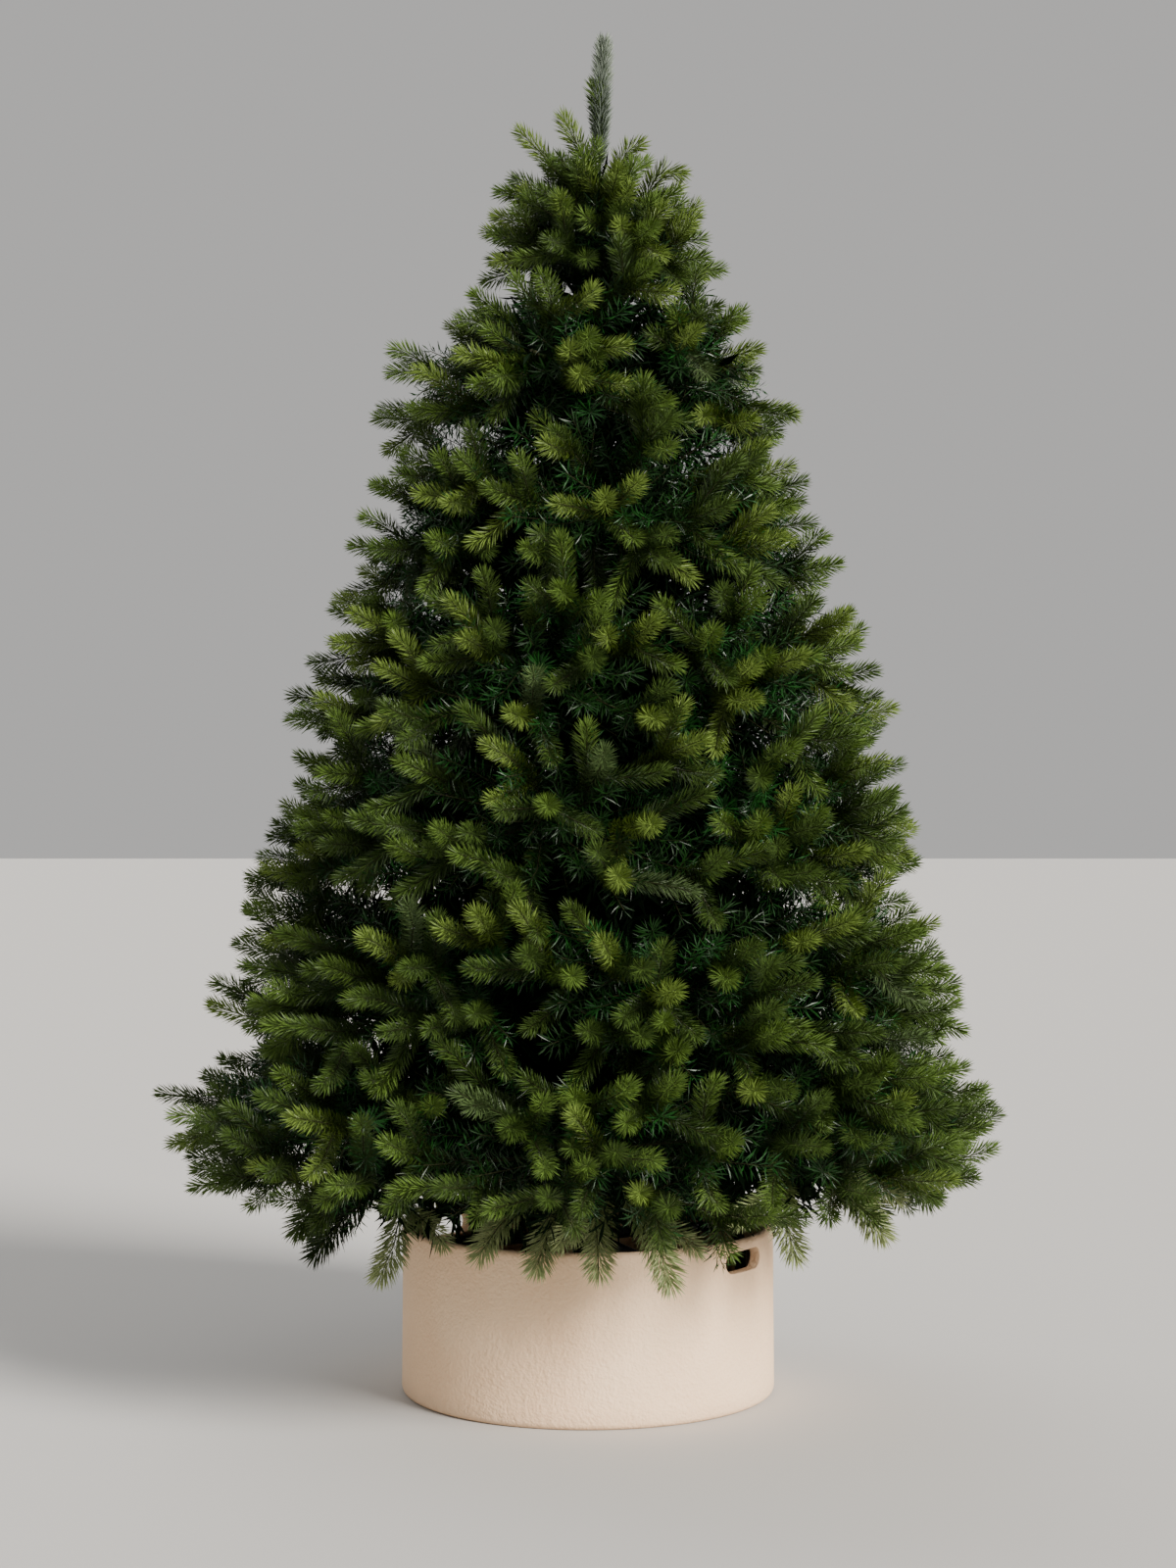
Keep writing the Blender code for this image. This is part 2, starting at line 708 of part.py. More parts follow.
def build_top(material, collection, crown):
    core = bmesh.new()
    height = SHOULDER - TOP_CORE_Z
    bmesh.ops.create_cone(
        core, cap_ends=True, segments=7, radius1=TOP_CORE_RADIUS, radius2=0.02, depth=height
    )
    bmesh.ops.translate(core, verts=core.verts, vec=(0.0, 0.0, TOP_CORE_Z + height / 2))
    start = Vector((0.0, 0.0, POLE_TOP + GAP))
    pieces = [stem(start, Vector((0.0, 0.0, LEADER_STEM_TOP)), STEM_RADIUS)]
    for corners in leader_sprays():
        if all(cone_height(corner) > TIER_EDGES[-1] + SPRAY_MARGIN for corner in corners):
            pieces.append(blade(corners))
    mesh = fuse("foliage_top", core, pieces)
    add_object("foliage_top", mesh, material, collection, crown)


def build_crown(bark, green, steel, collection):
    crown = bpy.data.objects.new("crown_axis", None)
    collection.objects.link(crown)
    crown.rotation_euler = (0.0, math.atan(LEAN), 0.0)
    turned("pole", pole_profile(), POLE_SEGMENTS, steel, collection, parent=crown)
    for space in spaces():
        if space.tier < BOUGH_TIERS:
            build_bough(space, bark, collection, crown)
        build_mass(space, green, collection, crown)
    build_top(green, collection, crown)


def main():
    clear_scene()
    tree = new_collection("christmas_tree")
    cutters = new_collection("cutters")
    clay = make_material("collar", (0.72, 0.60, 0.50), 0.85)
    black = make_material("black_steel", (0.02, 0.02, 0.02), 0.45)
    rubber = make_material("rubber", (0.03, 0.03, 0.03), 0.9)
    pole_green = make_material("pole_steel", (0.03, 0.07, 0.03), 0.5)
    bough_green = make_material("bough", (0.05, 0.08, 0.03), 0.8)
    needles = make_material("needles", (0.06, 0.13, 0.03), 0.6)
    build_collar(clay, tree, cutters)
    build_hub(black, tree, cutters)
    build_screw(black, tree)
    for number, azimuth in enumerate(ARM_AZIMUTHS, start=1):
        build_arm(number, azimuth, black, tree)
        build_foot(number, azimuth, rubber, tree)
    build_crown(bough_green, needles, pole_green, tree)


main()
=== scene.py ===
"""The finish of an artificial spruce in a round collar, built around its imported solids.

Sizes are metres, +Z is up and the front faces -Y. An azimuth is counted from the front towards +X.
The crown is worked out round an upright axis, and leans with its pole when it is made.
"""

import math
import random
from collections import defaultdict, namedtuple

import bmesh
import bpy
from mathutils import Matrix, Vector, noise
from mathutils.geometry import interpolate_bezier


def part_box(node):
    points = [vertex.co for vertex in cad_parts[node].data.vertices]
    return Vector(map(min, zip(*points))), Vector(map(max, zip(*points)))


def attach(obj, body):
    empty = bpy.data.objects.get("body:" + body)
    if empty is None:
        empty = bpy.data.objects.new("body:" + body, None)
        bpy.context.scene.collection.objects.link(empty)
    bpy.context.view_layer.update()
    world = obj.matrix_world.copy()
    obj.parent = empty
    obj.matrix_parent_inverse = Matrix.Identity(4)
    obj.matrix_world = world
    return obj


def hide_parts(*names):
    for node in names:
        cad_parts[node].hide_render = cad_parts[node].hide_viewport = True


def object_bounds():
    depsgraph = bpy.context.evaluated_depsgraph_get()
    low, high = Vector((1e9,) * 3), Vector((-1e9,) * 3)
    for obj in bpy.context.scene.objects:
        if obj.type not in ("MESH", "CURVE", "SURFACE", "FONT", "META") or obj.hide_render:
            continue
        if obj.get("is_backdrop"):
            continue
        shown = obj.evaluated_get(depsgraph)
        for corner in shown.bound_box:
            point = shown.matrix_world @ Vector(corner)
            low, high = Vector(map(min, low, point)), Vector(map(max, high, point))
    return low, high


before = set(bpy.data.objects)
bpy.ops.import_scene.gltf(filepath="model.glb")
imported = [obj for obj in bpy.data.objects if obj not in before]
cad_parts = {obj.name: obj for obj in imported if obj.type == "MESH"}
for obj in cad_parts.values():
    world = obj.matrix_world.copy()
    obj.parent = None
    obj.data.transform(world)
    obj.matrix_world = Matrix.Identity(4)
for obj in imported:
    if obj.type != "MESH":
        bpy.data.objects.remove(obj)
CAD_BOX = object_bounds()

# ---------------------------------------------------------------- collar

COLLAR_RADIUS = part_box("collar")[1].x
COLLAR_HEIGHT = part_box("collar")[1].z
COLLAR_TAPER = 0.0015  # how much narrower it is at the rim
COLLAR_WALL = 0.018
COLLAR_FOOT_ROUND = 0.010
COLLAR_ROWS = 16
COLLAR_SEGMENTS = 192
COLLAR_WAVES = 0.0007  # how far its hand-smoothed sides go in
COLLAR_WAVE_SIZE = 0.060
HANDLE_AZIMUTH = math.radians(55)
HANDLE_LENGTH = 0.096
HANDLE_HEIGHT = 0.032
HANDLE_Z = 0.228
HANDLE_ROUND = 0.0035

# ---------------------------------------------------------------- pole

LEAN = 0.0105  # sideways travel for each metre of height
LEANING = Matrix.Rotation(math.atan(LEAN), 4, "Y")
POLE_STEPS = [(0.0045, 0.0160), (0.800, 0.0140), (1.350, 0.0125)]  # (from height, radius)
POLE_TOP = 1.720
POLE_SEGMENTS = 32
SLEEVE_CHAMFER = 0.004
RING_RADIUS = 0.026
RING_HEIGHT = 0.022
RING_PLATE = 0.003  # a ring is two plates, with hinge pins between them
PIN_RADIUS = 0.0018
PIN_CIRCLE = 0.0228

# ---------------------------------------------------------------- crown: its spaces and its reach

TREE_HEIGHT = 2.130
SHOULDER = 1.930  # below this the crown widens
SHOULDER_RADIUS = 0.100
CROWN_DEPTH = 1.550
FLARE = 0.540  # how much wider it is at its bottom
FLARE_POWER = 0.75
SKIRT_Z = 0.400  # below this it draws in again
SKIRT_TOP = 0.500
SKIRT_EXTRA = 0.020
LONG_AZIMUTH = math.radians(270)  # the skirt stands out further on this side
LONG_EXTRA = 0.030
RISE = 0.150  # height gained by a bough for each metre outwards
TIER_EDGES = [0.250, 0.480, 0.720, 0.960, 1.200, 1.450, 1.700]
SECTORS = [6, 6, 5, 5, 4, 3]
TIER_TURN = math.radians(137.5)
SPRAY_ROWS = 0.090  # the solid masses' sprays stand in rows and columns of about this spacing
SPRAY_COLUMNS = 0.150
SPRAY_STAND = 0.095
SPRAY_HALF_WIDTH = 0.034
SPRAY_MARGIN = 0.0025
SPRAY_SHORT = 0.3
SPRAY_RAISE = 12
SPRAY_RAISE_CHANCE = (-8, 12)
SPRAY_FAN = 0.25
SPRAY_FAN_CHANCE = 0.15
STRAY_Z = 0.028  # how far a fine tip may end from its site: in height,
STRAY_ASIDE = 0.02  # sideways,
STRAY_TURN = 0.14  # and in its direction
DROOPS = 4
DROOP_Z = (0.228, 0.285)
DROOP_RADIUS = (0.355, 0.475)
DROOP_ANGLE = (38, 62)
DROOP_START = 0.26  # where hanging limbs leave their bough
DROOP_FAN = 1.7
DROOP_TURN = -0.07
DROOP_OUT = 0.048  # how much further out they hang at the sides
DROOP_RIGHT = 0.080  # and still further out at the right
DROOP_TILT = 0.024  # higher at the right, and lower at the left
DROOP_SIZE = 1.3  # of their needles, which are longer
DROOP_SHOOT = (0.13, 0.105)  # how far from its end a hanging limb's side tip leaves, and its length
PAINTED_LIGHT_ASIDE = 0.80  # the hanging tips at the front and back get a pale shade that is painted light, and those aside a dark one that is painted shade
LEADER_TURN = math.radians(90)
LEADER_PITCH = math.radians(87)
LEADER_ASIDE = 0.004
LEADER_LENGTH = 0.190
LEADER_SPACING = 0.55  # its needles stand closer than a tip's, and are shorter
LEADER_NEEDLE = 0.90
TOP_TIPS = [  # azimuth, tip radius, tip height and upward angle: the highest side tips
    (280, 0.014, 2.062, 80),
    (275, 0.140, 1.982, 44),
    (290, 0.072, 2.006, 62),
    (86, 0.143, 1.900, -24),
    (60, 0.088, 1.948, 6),
    (265, 0.176, 1.878, -4),
    (340, 0.105, 1.925, 26),
    (130, 0.110, 1.950, 30),
    (215, 0.115, 1.950, 36),
    (170, 0.120, 1.930, 26),
]
WHORLS = [  # sprays, tip radius, tip height, upward angle, first azimuth in degrees
    (6, 0.150, 1.895, 16, 320),
    (7, 0.192, 1.840, 10, 267),
    (8, 0.222, 1.785, 4, 290),
]
WHORL_TIPS = 3  # side tips on each limb of a whorl
WHORL_SHOOT = 0.085
WHORL_TWIGS = 2
WHORL_TWIG = 0.07

# ---------------------------------------------------------------- crown: boughs, limbs and tips

BOUGH_RADIUS = 0.0062
BOUGH_TAPER = 0.5
BOUGH_REACH = 0.72  # a bough's length, as a share of the crown's reach beside it
BOUGH_TWIST = 0.026  # its two wires turn once in this length
LIMB_START = (0.20, 0.42)  # where a limb leaves its bough, as a share of its tip's distance
LIMB_RADIUS = 0.0022
LIMB_POINTS = 9
STEM_RADIUS = 0.0011
STEM_ROOT = 1.3  # a stem's thickness at its two ends, as a share of that radius
STEM_END = 0.6
TIP_LENGTH = 0.150  # the moulded part at the end of a limb
SHOOT_COUNTS = ((2, 3), (0.75, 0.25))  # side tips on a limb, and how often
SHOOT_ROLL = 2.3  # from one to the next, round the limb
SHOOT_LENGTH = (0.108, 0.138)
SHOOT_BACK = (0.095, 0.135)  # where it leaves its limb, counted from the limb's end
SHOOT_TURN = (30, 50)  # how far it leans out from its limb
SHOOT_POINTS = 6
SHOOT_SIZE = (0.92, 1.0)
INNER_CHANCE = 0.3  # of one more side tip further in
INNER_BACK = (0.190, 0.250)
TWIGS = 3  # film twigs beside a limb
TWIG_BACK = (0.110, 0.200)
TWIG_TURN = (0.4, 1.1)
TWIG_LENGTH = 0.082
END_GAP = 0.020  # a stem ends this far inside its furthest needles
SPREAD = 0.026  # fine tips stand out this far from the solid masses, above the skirt
SPREAD_RANGE = (0.52, 0.66, 1.86, 1.94)  # heights where this starts, is full, wanes and ends
BULGES = [  # azimuth, height, half height, and how far longer boughs stand out there
    (math.radians(270), 1.750, 0.05, 0.045),
    (math.radians(270), 1.585, 0.09, 0.066),
    (math.radians(90), 1.560, 0.07, 0.030),
    (math.radians(270), 1.075, 0.08, 0.035),
    (math.radians(90), 1.100, 0.06, 0.028),
    (math.radians(270), 0.535, 0.05, -0.070),
    (math.radians(272), 0.478, 0.05, 0.034),
    (math.radians(270), 0.330, 0.045, 0.048),
]
FILL_ROWS = 0.055  # twigs of near-black film, painted shade, fill a mass's inside, in rows, rings and columns
FILL_COLUMNS = 0.085
FILL_INSET = 0.082  # the furthest ring of painted-shade film stays this far inside the crown
FILM_INSET = 0.055  # and the ring of green film round it
FILL_RINGS = (  # share of the crown's reach, and size of the painted-shade film there; 0 is the green ring
    (0.20, 1.7),
    (0.38, 1.5),
    (0.56, 1.2),
    (0.74, 0.65),
    (0.86, 0.0),
)
FILL_LOW = 0.285  # below this the green ring is left out, because the hanging limbs are there
FILL_TWIG = 0.120
FILL_BACK = (0.10, 0.18)  # how much nearer to the pole a twig leaves its bough
CORE = [  # near-black film round the pole, painted shade: from height, to height, size
    (0.34, 1.70, 2.4),
    (0.36, 1.50, 2.0),
    (1.50, 1.86, 1.5),
    (1.60, 1.90, 1.0),
]
NEEDLE_LENGTH = 0.0310
NEEDLE_WIDTH = 0.0023
NEEDLE_SPACING = 0.00052
NEEDLE_LEAN = (50, 22)  # at a tip's root and at its end
LEADER_LEAN = (46, 22)
NEEDLE_FLATNESS = 0.85  # of a spray's section
YOUNG_PART = 0.62  # past this share of a tip its needles are the younger, paler ones
FILM_LENGTH = 0.020
FILM_WIDTH = 0.0019
FILM_SPACING = 0.0017
FILM_LEAN = (70, 35)
FILL_LENGTH = 0.062
FILL_WIDTH = 0.0085
FILL_SPACING = 0.0040
GOLDEN_ANGLE = math.radians(137.508)

# The shades of tips, how often each comes high up, and how often at the bottom. Outer tips come
# darker lower down and paler higher up: painted shade and painted light by height.
OUTER_SHADES = (
    ("yellow", "leaf", "moss", "frosted"),
    (0.42, 0.38, 0.18, 0.02),
    (0.12, 0.33, 0.53, 0.02),
)
# inner tips: moss, or near-black painted shade
INNER_SHADES = (("moss", "deep"), (0.25, 0.75), (0.75, 0.25))
# heights over which the tips' painted shade goes from the bottom's weights to the top's
PAINTED_SHADE_HEIGHTS = (0.30, 1.90)
FILM_CHOICE = ("bright", "dark")
RING_CHOICE = ("bright", "dark", "dark")
# The size of the film's strips on limbs, on twigs, in the green ring, round the leader's stem, and on
# the twigs of its whorls; and of the near-black film under it, painted shade where the inside would
# show.
LIMB_FILM = 1.2
TWIG_FILM = 1.15
RING_FILM = 1.5
LEADER_FILM = 0.9
WHORL_FILM = 1.25
BOUGH_DARK = 1.3
DROOP_DARK = 0.45
LEADER_DARK = 0.45
WHORL_DARK = 0.6

Space = namedtuple("Space", "tier sector azimuth half_angle low high")
Strand = namedtuple("Strand", "points size")  # size is its needles' scale, or a rod's radius


# ---------------------------------------------------------------- nodes


class Signal:
    """A node's output. The usual signs between signals and numbers add the nodes for them."""

    def __init__(self, net, socket):
        self.net = net
        self.socket = socket

    def out(self, name):
        return Signal(self.net, self.socket.node.outputs[name])

    def __add__(self, other):
        return self.net.maths("ADD", self, other)

    def __radd__(self, other):
        return self.net.maths("ADD", other, self)

    def __sub__(self, other):
        return self.net.maths("SUBTRACT", self, other)

    def __rsub__(self, other):
        return self.net.maths("SUBTRACT", other, self)

    def __mul__(self, other):
        return self.net.maths("MULTIPLY", self, other)

    def __rmul__(self, other):
        return self.net.maths("MULTIPLY", other, self)

    def __pow__(self, other):
        return self.net.maths("POWER", self, other)


class Net:
    """A tree of nodes while it is built."""

    def __init__(self, tree):
        self.tree = tree

    def node(self, kind, settings=None, values=None, output=0):
        """Adds a node with its settings and its sockets' values or links, and gives one output."""
        made = self.tree.nodes.new(kind)
        for name, value in (settings or {}).items():
            setattr(made, name, value)
        for name, value in (values or {}).items():
            self.feed(made.inputs[name], value)
        return Signal(self, made.outputs[output]) if made.outputs else made

    def feed(self, socket, value):
        if isinstance(value, Signal):
            self.tree.links.new(value.socket, socket)
        else:
            socket.default_value = value

    def maths(self, operation, *values):
        return self.node("ShaderNodeMath", {"operation": operation}, dict(enumerate(values)))

    def vector(self, operation, *values):
        return self.node("ShaderNodeVectorMath", {"operation": operation}, dict(enumerate(values)))

    def stretched(self, vector, amount):
        return self.node("ShaderNodeVectorMath", {"operation": "SCALE"}, {0: vector, "Scale": amount})

    def chance(self, low, high, seed):
        """A number that differs from point to point."""
        sockets = {2: low, 3: high, "Seed": seed}
        return self.node("FunctionNodeRandomValue", {"data_type": "FLOAT"}, sockets, 1)

    def named(self, name):
        """A number that the points carry."""
        return self.node("GeometryNodeInputNamedAttribute", {"data_type": "FLOAT"}, {"Name": name})


def node_group(name, inputs):
    """A tree for a modifier, with the signals of its named inputs."""
    tree = bpy.data.node_groups.new(name, "GeometryNodeTree")
    tree.interface.new_socket("Geometry", in_out="INPUT", socket_type="NodeSocketGeometry")
    tree.interface.new_socket("Geometry", in_out="OUTPUT", socket_type="NodeSocketGeometry")
    for label, kind in inputs.items():
        tree.interface.new_socket(label, in_out="INPUT", socket_type="NodeSocket" + kind)
    net = Net(tree)
    source = net.node("NodeGroupInput")
    return net, {label: source.out(label) for label in ("Geometry", *inputs)}


def finish_group(net, geometry, material):
    """Ends a tree with real geometry in its material."""
    geometry = net.node("GeometryNodeRealizeInstances", None, {"Geometry": geometry})
    geometry = net.node("GeometryNodeSetMaterial", None, {"Geometry": geometry, "Material": material})
    net.node("NodeGroupOutput", None, {"Geometry": geometry})
    return net.tree


def needle_frame(net, tangent, spin, lean, twist, flatness):
    """The turn of a needle that leans to a stem's end, spun round the stem and twisted on itself."""
    side = net.vector("NORMALIZE", net.vector("CROSS_PRODUCT", tangent, (0.0, 0.0, 1.0)))
    up = net.vector("CROSS_PRODUCT", side, tangent)
    across = net.stretched(side, net.maths("COSINE", spin))
    out = net.vector("ADD", across, net.stretched(up, net.maths("SINE", spin) * flatness))
    forward = net.stretched(tangent, net.maths("COSINE", lean))
    direction = net.vector("ADD", forward, net.stretched(out, net.maths("SINE", lean)))
    around = net.vector("CROSS_PRODUCT", tangent, out)
    other = net.vector("CROSS_PRODUCT", direction, around)
    face = net.vector(
        "ADD",
        net.stretched(around, net.maths("COSINE", twist)),
        net.stretched(other, net.maths("SINE", twist)),
    )
    return net.node(
        "FunctionNodeAxesToRotation",
        {"primary_axis": "Z", "secondary_axis": "X"},
        {"Primary Axis": direction, "Secondary Axis": face},
    )


def brush_group():
    """Needles round every stem, each a golden angle on from the last, closing in at the stem's end."""
    inputs = {
        "Needle": "Object",
        "Spacing": "Float",
        "Length": "Float",
        "Width": "Float",
        "Root lean": "Float",
        "End lean": "Float",
        "Flatness": "Float",
        "Kept from": "Float",
        "Kept to": "Float",
        "Seed": "Int",
        "Material": "Material",
    }
    net, given = node_group("brush", inputs)
    curve = net.node("GeometryNodeMeshToCurve", None, {"Mesh": given["Geometry"]})
    spaced = {"Curve": curve, "Length": given["Spacing"]}
    curve = net.node("GeometryNodeResampleCurve", {"mode": "LENGTH"}, spaced)
    points = net.node("GeometryNodeCurveToPoints", {"mode": "EVALUATED"}, {"Curve": curve})
    along = net.named("along")
    seed = given["Seed"]
    spin = net.node("GeometryNodeInputIndex") * GOLDEN_ANGLE + net.chance(-0.16, 0.16, seed)
    lean = given["Root lean"] + (given["End lean"] - given["Root lean"]) * along**12.0
    lean = lean + net.chance(-0.09, 0.09, seed + 1.0)
    twist = net.chance(0.0, math.pi, seed + 2.0)
    turn = needle_frame(net, points.out("Tangent"), spin, lean, twist, given["Flatness"])
    taper = 1.0 - 0.25 * along**14.0 - 0.35 * (1.0 - along) ** 6.0
    size = net.named("size")
    long = size * given["Length"] * taper * net.chance(0.90, 1.05, seed + 3.0)
    wide = size * given["Width"] * net.chance(0.8, 1.15, seed + 4.0)
    where = along + net.chance(-0.10, 0.10, seed + 5.0)
    kept = net.maths("GREATER_THAN", where, given["Kept from"])
    kept = kept * net.maths("LESS_THAN", where, given["Kept to"])
    needle = net.node("GeometryNodeObjectInfo", None, {"Object": given["Needle"]}, "Geometry")
    instances = {
        "Points": points,
        "Selection": kept,
        "Instance": needle,
        "Rotation": turn,
        "Scale": net.node("ShaderNodeCombineXYZ", None, {"X": wide, "Y": wide, "Z": long}),
    }
    needles = net.node("GeometryNodeInstanceOnPoints", None, instances)
    return finish_group(net, needles, given["Material"])


def rod_group():
    """A tapering rod along every stem, whose section makes a number of turns for each metre."""
    inputs = {
        "Sides": "Int",
        "Spacing": "Float",
        "Turns": "Float",
        "Flatness": "Float",
        "Material": "Material",
    }
    net, given = node_group("rod", inputs)
    curve = net.node("GeometryNodeMeshToCurve", None, {"Mesh": given["Geometry"]})
    spaced = {"Curve": curve, "Length": given["Spacing"]}
    curve = net.node("GeometryNodeResampleCurve", {"mode": "LENGTH"}, spaced)
    length = net.node("GeometryNodeSplineParameter", output="Length")
    tilt = length * given["Turns"] * math.tau
    curve = net.node("GeometryNodeSetCurveTilt", None, {"Curve": curve, "Tilt": tilt})
    sides = {"Resolution": given["Sides"], "Radius": 1.0}
    circle = net.node("GeometryNodeCurvePrimitiveCircle", None, sides)
    scale = net.node("ShaderNodeCombineXYZ", None, {"X": 1.0, "Y": given["Flatness"], "Z": 1.0})
    section = net.node("GeometryNodeTransform", None, {"Geometry": circle, "Scale": scale})
    sweep = {"Curve": curve, "Profile Curve": section, "Scale": net.named("size"), "Fill Caps": True}
    rod = net.node("GeometryNodeCurveToMesh", None, sweep)
    return finish_group(net, rod, given["Material"])


# ---------------------------------------------------------------- meshes


def outward(azimuth):
    return Vector((math.sin(azimuth), -math.cos(azimuth), 0.0))


def place(radius, azimuth, z):
    return outward(azimuth) * radius + Vector((0.0, 0.0, z))


def aim(azimuth, pitch):
    """A direction outwards at an azimuth, raised by an angle."""
    return outward(azimuth) * math.cos(pitch) + Vector((0.0, 0.0, math.sin(pitch)))


def arc(centre, radius, start, end, steps):
    """Points on an arc in a profile, by angles in degrees."""
    angles = [math.radians(start + (end - start) * i / steps) for i in range(steps + 1)]
    return [(centre[0] + radius * math.cos(a), centre[1] + radius * math.sin(a)) for a in angles]


def link(name, mesh):
    made = bpy.data.objects.new(name, mesh)
    bpy.context.scene.collection.objects.link(made)
    return made


def plain_mesh(made):
    """Applies an object's modifiers, so that its mesh is all there is."""
    evaluated = made.evaluated_get(bpy.context.evaluated_depsgraph_get())
    mesh = bpy.data.meshes.new_from_object(evaluated)
    made.modifiers.clear()
    old, made.data = made.data, mesh
    bpy.data.meshes.remove(old)
    return made


def turned(name, profile, segments, material, closed=False):
    """A profile of (radius, z) turned round +Z. A point on the axis closes its end."""
    bm = bmesh.new()
    rings = []
    for radius, z in profile:
        if radius < 1e-6:
            rings.append([bm.verts.new((0.0, 0.0, z))])
        else:
            angles = [math.tau * i / segments for i in range(segments)]
            rings.append([bm.verts.new(place(radius, a, z)) for a in angles])
    pairs = list(zip(rings, rings[1:])) + ([(rings[-1], rings[0])] if closed else [])
    for upper, lower in pairs:
        for i in range(segments):
            corners = [upper[i % len(upper)], upper[(i + 1) % len(upper)]]
            corners += [lower[(i + 1) % len(lower)], lower[i % len(lower)]]
            bm.faces.new(dict.fromkeys(corners))
    bmesh.ops.recalc_face_normals(bm, faces=bm.faces)
    mesh = bpy.data.meshes.new(name)
    bm.to_mesh(mesh)
    bm.free()
    mesh.materials.append(material)
    return link(name, mesh)


def smooth(made, angle):
    made.data.shade_smooth()
    made.data.set_sharp_from_angle(angle=math.radians(angle))


def needle_form():
    """A unit needle along +Z, of two long faces with a fold between them, widest past its middle."""
    mesh = bpy.data.meshes.new("needle")
    corners = [(0.0, 0.0, 0.0), (0.5, -0.4, 0.6), (0.0, 0.0, 1.0), (-0.5, -0.4, 0.6)]
    mesh.from_pydata(corners, [], [(0, 1, 2), (0, 2, 3)])
    return link("needle", mesh)


def strands_mesh(name, strands):
    """Chains of edges, leaning with the pole. Their points carry how far along they are, and a size."""
    places, edges, along, sizes = [], [], [], []
    for points, size in strands:
        lengths = [0.0]
        for before, after in zip(points, points[1:]):
            lengths.append(lengths[-1] + (after - before).length)
        first = len(places)
        places += [LEANING @ point for point in points]
        edges += [(i, i + 1) for i in range(first, len(places) - 1)]
        along += [length / lengths[-1] for length in lengths]
        sizes += list(size) if isinstance(size, tuple) else [size] * len(points)
    mesh = bpy.data.meshes.new(name)
    mesh.from_pydata(places, edges, [])
    for label, values in (("along", along), ("size", sizes)):
        mesh.attributes.new(label, "FLOAT", "POINT").data.foreach_set("value", values)
    return mesh


def grown(name, strands, group, **inputs):
    """Runs a tree of nodes along strands and keeps the result as a plain mesh."""
    made = link(name, strands_mesh(name, strands))
    modifier = made.modifiers.new("Grow", "NODES")
    modifier.node_group = group
    for item in group.interface.items_tree:
        label = item.name.lower().replace(" ", "_")
        if item.in_out == "INPUT" and label in inputs:
            modifier[item.identifier] = inputs[label]
    plain_mesh(made)
    for label in ("along", "size"):
        carried = made.data.attributes.get(label)
        if carried:
            made.data.attributes.remove(carried)
    return made


# ---------------------------------------------------------------- crown: the rule that it grows by


def spaces():
    """Every sector of every tier, from the bottom of the crown up."""
    found = []
    for tier, count in enumerate(SECTORS):
        half_angle = math.pi / count
        for sector in range(count):
            azimuth = TIER_TURN * tier + 2 * half_angle * sector
            edges = TIER_EDGES[tier : tier + 2]
            found.append(Space(tier, sector, azimuth, half_angle, *edges))
    return found


def reach(azimuth, z):
    """How far out the crown's tips stand at a height, slightly uneven from side to side."""
    down = max(0.0, SHOULDER - max(z, SKIRT_Z)) / CROWN_DEPTH
    radius = SHOULDER_RADIUS + FLARE * down**FLARE_POWER
    radius -= max(0.0, SKIRT_Z - z)
    if z < SKIRT_TOP:
        radius += SKIRT_EXTRA + LONG_EXTRA * max(0.0, math.cos(azimuth - LONG_AZIMUTH)) ** 4
    return radius * (1 + 0.02 * math.sin(3 * azimuth + 9 * z))


def fade(value, low, high):
    """0 below low, 1 above high, and smooth between."""
    share = min(1.0, max(0.0, (value - low) / (high - low)))
    return share * share * (3 - 2 * share)


def full_reach(azimuth, z):
    """How far out the finest needles stand."""
    start, full, wane, end = SPREAD_RANGE
    out = reach(azimuth, z) + SPREAD * fade(z, start, full) * (1 - fade(z, wane, end))
    for turn, height, half, more in BULGES:
        near = max(0.0, 1 - abs(z - height) / half)
        out += more * min(1.0, 2 * near) * max(0.0, math.cos(azimuth - turn)) ** 6
    return out


def reach_along(azimuth, cone):
    """The crown's reach along a bough that rises from a height on the pole."""
    radius = 0.3
    for _ in range(12):
        radius = 0.5 * (radius + reach(azimuth, cone + RISE * radius))
    return radius


def stand_out(radius):
    return min(SPRAY_STAND, 0.4 * radius)


def on_bough(space, radius):
    """The point of a bough's axis at a distance from the pole's axis."""
    return place(radius, space.azimuth, (space.low + space.high) / 2 + RISE * radius)


def spray_sites(space):
    """Rows and columns of tips on the crown's outside, staggered and seeded: (azimuth, cone height)."""
    height = space.high - space.low
    rows = round(height / SPRAY_ROWS)
    for row in range(rows):
        cone = space.low + height * (row + 0.5) / rows
        radius = reach_along(space.azimuth, cone)
        inset = (SPRAY_HALF_WIDTH + SPRAY_MARGIN) / radius
        width = 2 * (space.half_angle - inset)
        columns = round(width * radius / SPRAY_COLUMNS)
        for column in range(columns):
            chance = random.Random(f"site {space.tier} {space.sector} {row} {column}")
            across = (column + 0.5 + 0.25 * (-1) ** row) / columns - 0.5
            across += chance.uniform(-0.12, 0.12) / columns
            yield chance, space.azimuth + width * across, cone + chance.uniform(-0.012, 0.012)


def site_tip(space, chance, azimuth, cone):
    """The furthest point of a site's spray, and the way that it points."""
    radius = reach_along(azimuth, cone)
    radius -= chance.uniform(0.0, SPRAY_SHORT) * stand_out(radius)
    fan = SPRAY_FAN * (azimuth - space.azimuth)
    fan += chance.uniform(-SPRAY_FAN_CHANCE, SPRAY_FAN_CHANCE)
    pitch = math.radians(SPRAY_RAISE + chance.uniform(*SPRAY_RAISE_CHANCE))
    chance.uniform(-1.0, 1.0)  # the solid spray's roll
    return place(radius, azimuth, cone + RISE * radius), aim(azimuth + fan, pitch)


# ---------------------------------------------------------------- crown: limbs, and shoots on them


